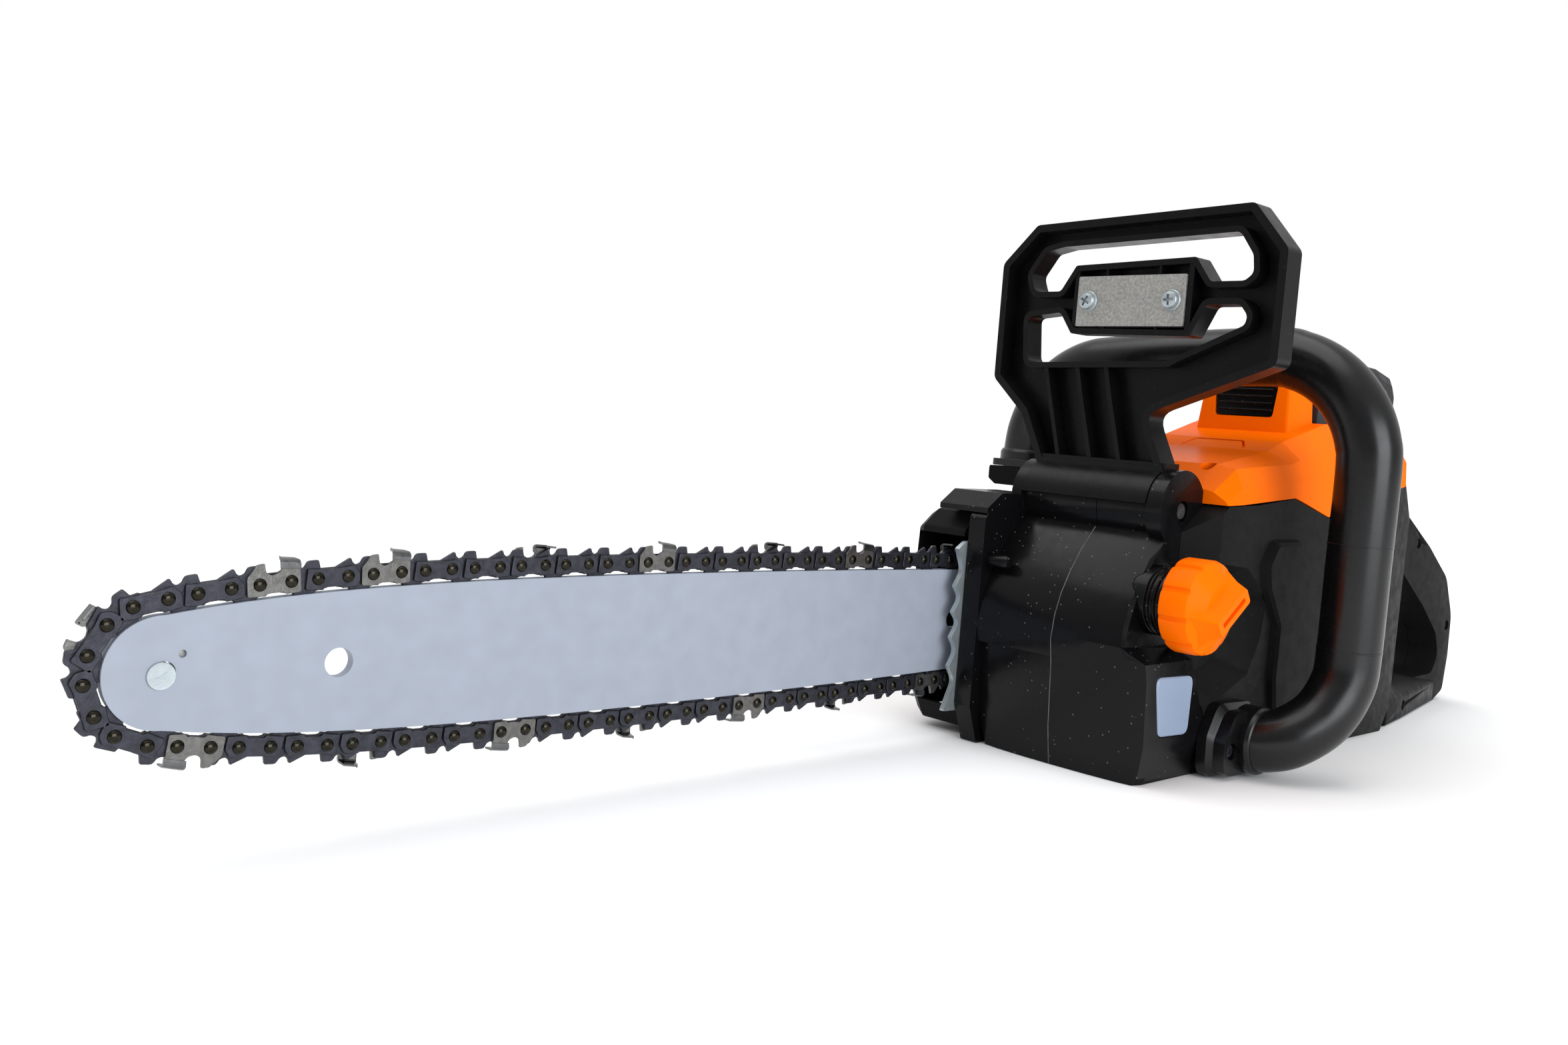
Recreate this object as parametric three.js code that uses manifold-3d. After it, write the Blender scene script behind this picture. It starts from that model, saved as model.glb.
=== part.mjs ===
// A cordless chainsaw with a 40 cm guide bar, built as it comes apart on a bench.
// Millimetres. X runs from the bar's tip (negative) to the rear handle, Y from the user's left to the
// right, Z up from the flat base. X = 0 is the drive sprocket's axis, Y = 0 the casing's parting line.
import * as THREE from "three";
import { mergeVertices } from "three/addons/utils/BufferGeometryUtils.js";
import Module from "manifold-3d";

const wasm = await Module();
wasm.setup();

// ---------------------------------------------------------------- driving dimensions
const GAP = 0.3; // clearance between pieces that touch
const WALL = 3; // moulded casing wall
const DRIVE = { x: 0, z: 57 }; // drive sprocket axis, parallel to Y
const MOTOR = { x: 54, z: 70 }; // motor axis, parallel to Y
const NOSE = { x: -467, z: 57 }; // bar nose sprocket axis
const BAR_Y = 63.3; // middle plane of the bar and the chain
const BAR_THICK = 4;
const CHAIN_WIDTH = 5.2;
const NOSE_R = 22.45; // rivet circle round the nose
const SPROCKET_R = 19; // rivet circle round the drive sprocket
const BAR_INSET = 4.7; // from the rivets' path in to the bar's edge
const HALF_BODY = 48; // casing half width
const TOP_Z = 123; // top of the black casing at the front
const PIVOT = { x: -62, z: 119.5, r: 16 }; // front guard hinge
const TUBE = { r: 14, bend: 50, left: -89, right: 99, top: 194 }; // front handle
const CAP = { x: -77, z: 80, r: 21 };
const GEAR = { teeth: 60, pinionTeeth: 14, module: 1.5 };
const STUDS = [-70, -44]; // bar stud positions along X

// ---------------------------------------------------------------- looks
const LOOKS = {
  black: { color: 0x18181b, roughness: 0.5, metalness: 0 },
  gloss: { color: 0x0e0e10, roughness: 0.25, metalness: 0 },
  orange: { color: 0xff7d0a, roughness: 0.35, metalness: 0 },
  grey: { color: 0x3a3a40, roughness: 0.6, metalness: 0 },
  rubber: { color: 0x101010, roughness: 0.9, metalness: 0 },
  window: { color: 0xb4c0cf, roughness: 0.3, metalness: 0 },
  paint: { color: 0xafb8c6, roughness: 0.4, metalness: 0.3 },
  zinc: { color: 0xc2c8c8, roughness: 0.3, metalness: 0.9 },
  steel: { color: 0x8c8c8a, roughness: 0.4, metalness: 1 },
  chain: { color: 0x2c2c33, roughness: 0.35, metalness: 0.9 },
  copper: { color: 0xb06a3c, roughness: 0.4, metalness: 0.9 },
  alloy: { color: 0xb8bbbd, roughness: 0.45, metalness: 0.9 },
  board: { color: 0x1c5a34, roughness: 0.6, metalness: 0 },
};

// ---------------------------------------------------------------- solids
const AXIS_X = new THREE.Vector3(1, 0, 0);
const AXIS_Y = new THREE.Vector3(0, 1, 0);
const AXIS_Z = new THREE.Vector3(0, 0, 1);
// A prism's outline is given in (y, z), (x, z) or (x, y) for a prism along x, y or z.
const FRAMES = {
  x: new THREE.Matrix4().makeBasis(AXIS_Y, AXIS_Z, AXIS_X),
  y: new THREE.Matrix4().makeBasis(AXIS_X, AXIS_Z, AXIS_Y.clone().negate()),
  z: new THREE.Matrix4(),
};

function solidOf(geometry) {
  const bare = geometry.index ? geometry.toNonIndexed() : geometry.clone();
  bare.deleteAttribute("normal");
  bare.deleteAttribute("uv");
  const merged = mergeVertices(bare, 1e-4);
  const index = merged.index.array;
  const kept = [];
  for (let i = 0; i < index.length; i += 3) {
    const [a, b, c] = [index[i], index[i + 1], index[i + 2]];
    if (a !== b && b !== c && a !== c) kept.push(a, b, c);
  }
  return new wasm.Manifold(
    new wasm.Mesh({
      numProp: 3,
      vertProperties: merged.attributes.position.array,
      triVerts: new Uint32Array(kept),
    }),
  );
}

function prism(axis, outline, low, high) {
  const shape = new THREE.Shape(outline.map(([u, v]) => new THREE.Vector2(u, v)));
  const geometry = new THREE.ExtrudeGeometry(shape, { depth: high - low, bevelEnabled: false });
  geometry.translate(0, 0, axis === "y" ? -high : low);
  geometry.applyMatrix4(FRAMES[axis]);
  return solidOf(geometry);
}

function arc(cu, cv, r, from, to, steps) {
  const points = [];
  for (let i = 0; i <= steps; i++) {
    const angle = THREE.MathUtils.degToRad(from + ((to - from) * i) / steps);
    points.push([cu + r * Math.cos(angle), cv + r * Math.sin(angle)]);
  }
  return points;
}

function rod(axis, r, u, v, low, high, sides = 24) {
  return prism(axis, arc(u, v, r, 0, 360 - 360 / sides, sides - 1), low, high);
}

function ring(axis, outer, inner, u, v, low, high, sides = 24) {
  return rod(axis, outer, u, v, low, high, sides).subtract(
    rod(axis, inner, u, v, low - 1, high + 1, sides),
  );
}

function block(x0, x1, y0, y1, z0, z1) {
  return prism("z", [[x0, y0], [x1, y0], [x1, y1], [x0, y1]], z0, z1);
}

// Corners are cut back by `cut` so that long boxes read as moulded pieces.
function chamfered(axis, u0, u1, v0, v1, low, high, cut) {
  const outline = [
    [u0 + cut, v0], [u1 - cut, v0], [u1, v0 + cut], [u1, v1 - cut],
    [u1 - cut, v1], [u0 + cut, v1], [u0, v1 - cut], [u0, v0 + cut],
  ];
  return prism(axis, outline, low, high);
}

function tube(points, r, steps, sides = 16) {
  const knots = points.map((p) => new THREE.Vector3(...p));
  const path = new THREE.CatmullRomCurve3(knots, false, "centripetal");
  const circle = arc(0, 0, r, 0, 360 - 360 / sides, sides - 1).map(([u, v]) => new THREE.Vector2(u, v));
  const section = new THREE.Shape(circle);
  return solidOf(new THREE.ExtrudeGeometry(section, { steps, bevelEnabled: false, extrudePath: path }));
}

// Trapezoid teeth round a circle. `turn` is the angle of the first tooth's middle, in degrees, and
// `share` is half a tooth's root width as a part of the pitch.
function gearOutline(u, v, teeth, pitchR, tip, root, turn, share = 0.26) {
  const points = [];
  const pitch = 360 / teeth;
  const corners = [[-share, -root], [-share / 2, tip], [share / 2, tip], [share, -root]];
  for (let i = 0; i < teeth; i++)
    for (const [along, out] of corners) {
      const angle = THREE.MathUtils.degToRad(turn + pitch * (i + along));
      points.push([u + (pitchR + out) * Math.cos(angle), v + (pitchR + out) * Math.sin(angle)]);
    }
  return points;
}

// ---------------------------------------------------------------- scene graph
const saw = new THREE.Group();
saw.name = "chainsaw";

function assembly(name) {
  const group = new THREE.Group();
  group.name = name;
  saw.add(group);
  return group;
}

function add(group, name, look, solid) {
  const made = solid.getMesh();
  const geometry = new THREE.BufferGeometry();
  geometry.setAttribute("position", new THREE.BufferAttribute(made.vertProperties, 3));
  geometry.setIndex(new THREE.BufferAttribute(made.triVerts, 1));
  geometry.computeVertexNormals();
  const mesh = new THREE.Mesh(geometry, new THREE.MeshStandardMaterial(LOOKS[look]));
  mesh.name = name;
  group.add(mesh);
  return mesh;
}

// A cross-head screw along `axis`, its head at `at` and its shank running `length` the way of `sign`.
function screw(axis, u, v, at, sign, length, headR = 4.2, shankR = 2) {
  const span = (a, b) => [Math.min(a, b), Math.max(a, b)];
  const head = rod(axis, headR, u, v, ...span(at, at + sign * 2.4), 16);
  const shank = rod(axis, shankR, u, v, ...span(at + sign * 2, at + sign * length), 12);
  const deep = span(at - sign, at + sign * 1.2);
  const corners = (a, b) => [[u - a, v - b], [u + a, v - b], [u + a, v + b], [u - a, v + b]];
  const slot = (a, b) => prism(axis, corners(a, b), ...deep);
  return head.add(shank).subtract(slot(2.4, 0.5)).subtract(slot(0.5, 2.4));
}

// ---------------------------------------------------------------- bar and chain
// Half height of the rivets' path at distance u behind the nose axis.
function rise(u) {
  return NOSE_R + 8.9 * (1 - Math.exp(-u / 55)) - 3.57 * (u / 420) ** 3;
}

// The chain's loop, moved out by `offset`: nose arc, upper run, drive arc, lower run.
function loop(offset, spans = 17) {
  const tailU = 440;
  const top = [];
  for (let i = 0; i <= spans; i++) {
    const u = (tailU * i) / spans;
    top.push([NOSE.x + u, rise(u) + offset]);
  }
  const nose = arc(0, 0, NOSE_R + offset, 240, 120, 8).map(([x, z]) => [NOSE.x + x, z]);
  const drive = arc(0, 0, SPROCKET_R + offset, 75, -75, 10).map(([x, z]) => [DRIVE.x + x, z]);
  const bottom = top.map(([x, z]) => [x, -z]).reverse();
  return [...nose, ...top, ...drive, ...bottom].map(([x, z]) => [x, z + NOSE.z]);
}

function buildBar() {
  const group = assembly("bar_assembly");
  const half = BAR_THICK / 2;
  const [y0, y1] = [BAR_Y - half, BAR_Y + half];
  const tail = -24;
  const edge = [];
  for (let u = 0; NOSE.x + u < tail - 20; u += 26) edge.push([NOSE.x + u, rise(u) - BAR_INSET]);
  edge.push([tail - 10, 20], [tail, 14]);
  const nose = arc(0, 0, NOSE_R - BAR_INSET, 250, 110, 10).map(([x, z]) => [NOSE.x + x, z]);
  const lower = edge.map(([x, z]) => [x, -z]).reverse();
  const outline = [...nose, ...edge, ...lower].map(([x, z]) => [x, z + NOSE.z]);
  const slotFront = -104;
  const slotRear = -32;
  const slotR = 4.2;
  const slot = [
    ...arc(slotRear - slotR, DRIVE.z, slotR, -90, 90, 6),
    ...arc(slotFront + slotR, DRIVE.z, slotR, 90, 270, 6),
  ];
  const nosePocket = rod("y", 24, NOSE.x, NOSE.z, BAR_Y - 1, BAR_Y + 1, 32);
  const bar = prism("y", outline, y0, y1)
    .subtract(prism("y", slot, y0 - 1, y1 + 1))
    .subtract(rod("y", 4.9, -411.4, NOSE.z, y0 - 1, y1 + 1, 20))
    .subtract(rod("y", 1.6, -460, 63.5, y0 - 1, y1 + 1, 12))
    .subtract(rod("y", 3.6, -33, DRIVE.z - 13, y0 - 1, y1 + 1, 12))
    .subtract(rod("y", 4.4, NOSE.x, NOSE.z, y0 - 1, y1 + 1, 20))
    .subtract(nosePocket);
  add(group, "guide_bar", "paint", bar);

  const star = gearOutline(NOSE.x, NOSE.z, 9, 14.2, 2.4, 2.4, 0, 0.31);
  const teeth = prism("y", star, BAR_Y - 0.65, BAR_Y + 0.65)
    .subtract(rod("y", 4.4, NOSE.x, NOSE.z, BAR_Y - 2, BAR_Y + 2, 20));
  add(group, "nose_sprocket", "steel", teeth);

  const rivet = rod("y", 4, NOSE.x, NOSE.z, y0 - 1, y1 + 1, 20)
    .add(rod("y", 5.6, NOSE.x, NOSE.z, y0 - 1.1, y0 - GAP, 20))
    .add(rod("y", 5.6, NOSE.x, NOSE.z, y1 + GAP, y1 + 1.1, 20));
  add(group, "nose_rivet", "zinc", rivet);

  const chainHalf = CHAIN_WIDTH / 2;
  let chain = prism("y", loop(5.2), BAR_Y - chainHalf, BAR_Y + chainHalf).subtract(
    prism("y", loop(-4.1), BAR_Y - 10, BAR_Y + 10),
  );
  const cutterStep = 57.15;
  for (let u = 20; u < 430; u += cutterStep)
    for (const side of [1, -1]) {
      const z = rise(u) * side;
      const low = NOSE.z + Math.min(z, z + side * 8.6);
      const high = NOSE.z + Math.max(z, z + side * 8.6);
      const x = NOSE.x + u;
      chain = chain.add(block(x - 7, x + 7, BAR_Y - chainHalf, BAR_Y + chainHalf, low, high));
    }
  add(group, "saw_chain", "chain", chain);
}

// ---------------------------------------------------------------- drive train
function buildDrive() {
  const group = assembly("drive_train");
  group.position.set(DRIVE.x, 0, DRIVE.z);
  const spindle = rod("y", 6, 0, 0, -2, 70, 20).add(rod("y", 4.5, 0, 0, 70, 75, 16));
  add(group, "spindle", "steel", spindle);
  const gearR = (GEAR.teeth * GEAR.module) / 2;
  const meshAngle = THREE.MathUtils.radToDeg(Math.atan2(MOTOR.z - DRIVE.z, MOTOR.x - DRIVE.x));
  const gear = prism("y", gearOutline(0, 0, GEAR.teeth, gearR, 1.1, 1.6, meshAngle), 28, 36)
    .subtract(rod("y", 6 + GAP, 0, 0, 20, 40, 20))
    .subtract(ring("y", 38, 14, 0, 0, 33, 40, 24));
  add(group, "drive_gear", "steel", gear);
  const cupped = rod("y", 28, 0, 0, 50.2, 58, 32)
    .subtract(rod("y", 25, 0, 0, 50, 56, 32))
    .add(rod("y", 10, 0, 0, 50.4, 58, 20))
    .subtract(rod("y", 6 + GAP, 0, 0, 40, 60, 20));
  add(group, "brake_drum", "steel", cupped);
  const sprocket = prism("y", gearOutline(0, 0, 6, 11.8, 2.2, 2.2, 0, 0.37), 60.6, 66)
    .subtract(rod("y", 6 + GAP, 0, 0, 50, 70, 20));
  add(group, "drive_sprocket", "steel", sprocket);
  add(group, "sprocket_washer", "zinc", ring("y", 11, 6 + GAP, 0, 0, 66.4, 67.6, 20));
  add(group, "pump_worm", "steel", ring("y", 9.5, 6 + GAP, 0, 0, 2, 12, 20));
  add(group, "spindle_bearing_inner", "zinc", ring("y", 13, 6 + GAP, 0, 0, 17, 24, 24));
  add(group, "spindle_bearing_outer", "zinc", ring("y", 13, 6 + GAP, 0, 0, 38, 45, 24));
}

function buildMotor() {
  const group = assembly("motor");
  group.position.set(MOTOR.x, 0, MOTOR.z);
  add(group, "motor_shaft", "steel", rod("y", 4, 0, 0, -44, 38, 16));
  add(group, "motor_rotor", "steel", ring("y", 17, 4 + GAP, 0, 0, -28, 12, 24));
  const pinionR = (GEAR.pinionTeeth * GEAR.module) / 2;
  const facing = THREE.MathUtils.radToDeg(Math.atan2(DRIVE.z - MOTOR.z, DRIVE.x - MOTOR.x));
  const turn = facing + 180 / GEAR.pinionTeeth;
  const pinion = prism("y", gearOutline(0, 0, GEAR.pinionTeeth, pinionR, 1.1, 1.6, turn), 27, 37)
    .subtract(rod("y", 4 + GAP, 0, 0, 20, 40, 16));
  add(group, "motor_pinion", "steel", pinion);
  let fan = ring("y", 9, 4 + GAP, 0, 0, -38, -31, 20).add(ring("y", 26, 8, 0, 0, -32.2, -31, 24));
  for (let i = 0; i < 9; i++) {
    const blade = block(7, 25, -0.8, 0.8, -1, 1).rotate([90, 0, 0]);
    const tall = blade.scale([1, 3.4, 1]).translate([0, -34.6, 0]).rotate([0, i * 40, 0]);
    fan = fan.add(tall);
  }
  add(group, "cooling_fan", "grey", fan);
  let stator = ring("y", 31, 18, 0, 0, -24, 8, 32);
  for (let i = 0; i < 6; i++) {
    const slot = block(12, 27, -4, 4, -25, 9).rotate([90, 0, 0]);
    stator = stator.subtract(slot.rotate([0, i * 60, 0]));
  }
  add(group, "motor_stator", "copper", stator);
  add(group, "motor_bearing_left", "zinc", ring("y", 9.5, 4 + GAP, 0, 0, -44, -39, 20));
  add(group, "motor_bearing_right", "zinc", ring("y", 9.5, 4 + GAP, 0, 0, 17, 24, 20));
}

function buildDriveHousing() {
  const group = assembly("drive_housing");
  const plate = chamfered("y", -50, 90, 8, 106, 17, 24, 10)
    .subtract(rod("y", 13 + GAP, DRIVE.x, DRIVE.z, 10, 30, 24))
    .subtract(rod("y", 9.5 + GAP, MOTOR.x, MOTOR.z, 10, 30, 24));
  add(group, "gear_plate", "alloy", plate);
  const band = ring("y", 30.5, 28.8, DRIVE.x, DRIVE.z, 50.4, 57.6, 36)
    .add(block(-3, 3, 50.4, 57.6, DRIVE.z + 29.5, DRIVE.z + 38));
  add(group, "brake_band", "steel", band);
  const lever = prism("y", [[-60, 96], [-50, 90], [4, 96], [4, 101], [-48, 99], [-58, 106]], 52, 55);
  add(group, "brake_lever", "steel", lever);
  const body = chamfered("y", -38, -15, 64, 84, 1, 13, 3).add(rod("y", 4, -30, 74, 12, 16, 12));
  add(group, "oil_pump", "alloy", body);
}

// ---------------------------------------------------------------- casing
// Side profile of the front face, from the base up to the hinge barrel.
const FRONT_FACE = [
  [-97, 0], [-100, 18], [-102, 46], [-104, 58], [-102.5, 69], [-99, 79], [-94, 88], [-87, 98], [-77, 109],
];
// The joint between the black casing and the orange cover.
const COVER_JOINT = [[-42, TOP_Z], [-18, TOP_Z + 1], [16, 127.5], [53, 118.5], [140, 136], [163, 138]];
const REAR_X = 164;
const SPLIT_X = -52; // front housing to main casing

function ears(y0, y1) {
  return rod("y", PIVOT.r, PIVOT.x, PIVOT.z, y0, y1, 28);
}

function buildFrontHousing(group) {
  const rear = [[-70, 113], [SPLIT_X, 116], [SPLIT_X, 0]];
  const inner = FRONT_FACE.map(([x, z]) => [x + WALL, Math.max(z - 1, WALL)]);
  const innerRear = [[-69, 109.5], [SPLIT_X + 5, 112], [SPLIT_X + 5, WALL]];
  const hollow = prism("y", [...inner, ...innerRear], -HALF_BODY + WALL, HALF_BODY - WALL - 5);
  const outer = prism("y", [...FRONT_FACE, ...rear], -HALF_BODY, 43);
  const pad = block(-73.4, SPLIT_X, 51, 61, DRIVE.z - 12, DRIVE.z + 12);
  const cheekSide = [[-97, 0], [-104, 18], [-104, 112], [-96, 119], [SPLIT_X, 119], [SPLIT_X, 0]];
  const cheek = prism("y", cheekSide, 42.9, 52);
  const recess = block(-120, SPLIT_X + 10, -60, -35, 54, 140);
  const barrel = ears(-35, 47).subtract(rod("y", 4, PIVOT.x, PIVOT.z, -60, 60, 20));
  const hingeRoom = ring("y", 19.6, PIVOT.r, PIVOT.x, PIVOT.z, -27, 41, 28)
    .intersect(block(-90, -40, -30, 45, 110, 140));
  const window = [[-93, 49], [-61, 48], [-62, 20], [-87, 21]];
  const sideWall = prism("y", [...FRONT_FACE, ...rear], -35, -32)
    .intersect(block(-120, 0, -40, -30, 51, 130));
  const roofSide = [[-103, 110.5], [-103, 113], [-93, 120], [-79, 120], [-79, 118.6], [-92, 110.5]];
  const roof = prism("y", roofSide, 51, 72);
  const body = outer.add(cheek).add(pad).add(roof).subtract(hollow).subtract(recess).add(barrel)
    .add(sideWall)
    .add(block(-98, SPLIT_X, -HALF_BODY + 1, -33, 51, 54))
    .subtract(rod("y", 4, PIVOT.x, PIVOT.z, -60, 60, 20))
    .subtract(hingeRoom)
    .subtract(rod("y", 15 + GAP, CAP.x, CAP.z, -60, -20, 28))
    .subtract(prism("y", window, -60, -40));
  const cut = GAP / 2;
  const left = body.intersect(block(-200, SPLIT_X - cut, -100, -cut, -10, 200));
  const right = body.intersect(block(-200, SPLIT_X - cut, cut, 100, -10, 200));
  add(group, "front_housing_left", "gloss", left);
  add(group, "front_housing_right", "gloss", right);
}

function buildCasing() {
  const group = assembly("casing");
  buildFrontHousing(group);

  const low = SPLIT_X + GAP / 2;
  const joint = [...COVER_JOINT].reverse();
  const outline = [[low, 0], [150, 0], [REAR_X, 12], [REAR_X, 138], ...joint, [low, TOP_Z - 5]];
  const inner = [
    [low - 5, WALL], [148, WALL], [REAR_X - WALL, 14], [REAR_X - WALL, 118],
    [56, 112], [16, 121], [-40, 117], [low - 5, 110],
  ];
  const room = prism("y", inner, -HALF_BODY + WALL, HALF_BODY - WALL)
    .add(prism("y", [[58, 100], [150, 100], [150, 150], [58, 150]], -39, 39));
  const shoulderSide = [
    [40, 100], [47, 100], [47, 121], [112, 121], [112, 131], [60, 131], [48.6, 128], [48.6, 122], [40, 120],
  ];
  const shoulder = prism("x", shoulderSide, -17, 17);
  const barPad = block(low, -34, HALF_BODY - 1, 61, DRIVE.z - 12, DRIVE.z + 12);
  const guides = ring("y", 16, 13 + GAP, DRIVE.x, DRIVE.z, 38, 46, 24);
  let shell = prism("y", outline, -HALF_BODY, HALF_BODY).subtract(room).add(guides).add(barPad).add(shoulder);
  shell = shell
    .subtract(rod("y", 13 + GAP, DRIVE.x, DRIVE.z, 37, 60, 24))
    .subtract(rod("x", 6, -52, 18, -40, -12, 20));
  const tongue = block(-30, 60, -5, 12, -1, WALL + 1);
  const leftSpace = block(-200, 400, -100, -GAP / 2, -10, 300).add(tongue);
  const rightSpace = block(-200, 400, GAP / 2, 200, -10, 300)
    .subtract(block(-30 - GAP, 60 + GAP, -5, 12 + GAP, -1, WALL + 1.3));
  add(group, "case_left", "black", shell.intersect(leftSpace));
  add(group, "case_right", "black", shell.intersect(rightSpace));
}

function buildCover() {
  const group = assembly("top");
  const joint = COVER_JOINT.map(([x, z]) => [x, z + GAP]);
  const top = [[163, 160], [150, 168], [66, 166], [36, 158], [20, 150], [-32, 140], [-42, 132]];
  const lid = prism("y", [...joint, ...top], -HALF_BODY, HALF_BODY);
  const frontView = [
    [-50, 110], [50, 110], [50, 136], [32, 152], [30, 175], [-30, 175], [-32, 152], [-50, 136],
  ];
  const shoulders = prism("x", frontView, -50, 170);
  const tower = prism("y", [[46, 150], [50, 186], [56, 190], [70, 190], [70, 150]], -27, 27);
  const under = [...COVER_JOINT, [140, 150], [60, 150], [20, 140], [-36, 130]];
  const hollow = prism("y", under, -HALF_BODY + WALL, HALF_BODY - WALL);
  const bay = block(71, 180, -31, 31, 110, 220);
  const button = chamfered("x", -16.5, 16.5, 167, 184, 30, 60, 2);
  const cover = lid.intersect(shoulders).add(tower).subtract(hollow).subtract(bay).subtract(button)
    .subtract(block(60, 72, -16, 16, 167, 184))
    .subtract(prism("x", [[49, 90], [46, 121], [70, 140], [70, 90]], -18, 18))
    .subtract(rod("z", 3.5, -30, 0, 120, 160, 16));
  add(group, "top_cover", "orange", cover);
  let release = chamfered("x", -16, 16, 167.4, 183.6, 46.6, 58, 1.6);
  for (let z = 170; z < 183; z += 3.6) release = release.subtract(block(46, 47.6, -14, 14, z, z + 1.4));
  add(group, "battery_release", "gloss", release);
}

function buildBattery() {
  const group = assembly("battery_pack");
  const side = [[72, 140], [152, 140], [160, 148], [161, 186], [155, 196], [135, 200], [84, 197], [72, 188]];
  const pack = prism("y", side, -30, 30)
    .subtract(prism("x", [[-31, 188], [-22, 201], [-31, 210]], 60, 200))
    .subtract(prism("x", [[31, 188], [22, 201], [31, 210]], 60, 200))
    .subtract(block(60, 130, -20, -14, 139, 145))
    .subtract(block(60, 130, 14, 20, 139, 145));
  add(group, "battery", "grey", pack);
  const contacts = block(84, 104, -22, 22, 124, 132)
    .add(block(90, 94, -19, -15, 131, 144))
    .add(block(90, 94, 15, 19, 131, 144));
  add(group, "terminal_block", "copper", contacts);
}

// ---------------------------------------------------------------- sprocket cover and bar clamp
function buildSprocketCover() {
  const group = assembly("clutch_side");
  const outline = [
    [-103, 80], [-102, 101], [-92, 110], [-78, 118], [40, 118], [62, 108], [78, 86], [78, 24],
    [66, 6], [-91, 4], [-98, 17],
  ];
  const inner = [
    [-120, 80], [-120, 98], [-98, 98], [-89, 106], [-76, 114], [38, 114], [60, 104],
    [74, 84], [74, 26], [64, 10], [-88, 8], [-93, 14], [-120, 14],
  ];
  const knobHole = rod("y", 19, STUDS[0], DRIVE.z, 80, 100, 32);
  const shell = prism("y", outline, 52.4, 92).subtract(prism("y", inner, 40, 88)).subtract(knobHole)
    .subtract(block(-112, -60, 40, 56, 0, 130));
  add(group, "sprocket_cover", "black", shell);
  const wheel = ring("y", 18.6, 15, STUDS[0], DRIVE.z, 84, 94, 32)
    .add(ring("y", 25, 15, STUDS[0], DRIVE.z, 92.4, 97, 32));
  add(group, "tension_ring", "grey", wheel);
  const knob = prism("y", gearOutline(STUDS[0], DRIVE.z, 8, 13, 1.4, 0.8, 0, 0.43), 84, 103)
    .add(chamfered("y", STUDS[0] - 12, STUDS[0] + 12, DRIVE.z - 4, DRIVE.z + 4, 102, 109, 2));
  add(group, "clamp_knob", "orange", knob);
  STUDS.forEach((x, i) => {
    const reach = i === 0 ? 82 : 76;
    add(group, `bar_stud_${i + 1}`, "steel", rod("y", 3.8, x, DRIVE.z, 61.4, reach, 16));
  });
}

function buildBumper() {
  const group = assembly("bumper");
  const tips = [92.5, 74.5, 62, 50, 36, 14.5];
  const valleys = [82, 69, 57, 43.5, 29];
  const edge = [];
  tips.forEach((z, i) => {
    edge.push([-109.5 - (i === 5 ? 2 : 0), z]);
    if (i < valleys.length) edge.push([-105, valleys[i]]);
  });
  const plate = prism("y", [[-74, 14], [-74, 96], [-104, 96], ...edge], 52.4, 54.9)
    .subtract(rod("y", 2.6, -84, 84, 50, 58, 14))
    .subtract(rod("y", 2.6, -84, 26, 50, 58, 14));
  add(group, "spiked_bumper", "zinc", plate);
  [84, 26].forEach((z, i) => {
    const bolt = rod("y", 4.6, -84, z, 55.2, 58, 6).add(rod("y", 2.2, -84, z, 52.4, 55.4, 12));
    add(group, `bumper_screw_${i + 1}`, "steel", bolt);
  });
}

// ---------------------------------------------------------------- handles
function buildFrontHandle() {
  const group = assembly("front_handle");
  const { r, bend, left, right, top } = TUBE;
  const turn = (cy, cz, from, to) => arc(cy, cz, bend, from, to, 6).map(([y, z]) => [0, y, z]);
  const points = [
    [-25, -61.4, 17], [-25, -65, 17], [-20, -75, 20], [-10, -84, 31], [-2, -88.4, 46],
    [0, left, 62], [0, left, 100],
    ...turn(left + bend, top - bend, 180, 90),
    [0, 10, top - 2],
    ...turn(right - bend, top - bend - 5, 90, 0),
    [0, right, 136 - 0.5],
  ];
  add(group, "front_handle_tube", "black", tube(points, r, 64));
  const foot = prism("x", [[-61, 0], [-48.4, 0], [-48.4, 36], [-55, 36], [-61, 30]], -44, -6);
  add(group, "handle_foot_left", "black", foot);
  const rightFoot = chamfered("z", -17, 17, right - 17, right + 17, 131.4, 135, 4)
    .intersect(block(-20, 20, 60, 112, 130, 140));
  add(group, "handle_foot_right", "black", rightFoot);
}

const HANDLE_OUTER = [
  [REAR_X + GAP, 138], [192, 124], [222, 117], [257, 98.7], [288, 79], [302, 54], [303, 28],
  [300, 6], [286, 0], [REAR_X + GAP, 0],
];
const HANDLE_OPENING = [
  [182, 96], [202, 95], [256, 62], [280, 44], [287, 30], [280, 18], [190, 16], [178, 30],
];

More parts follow.
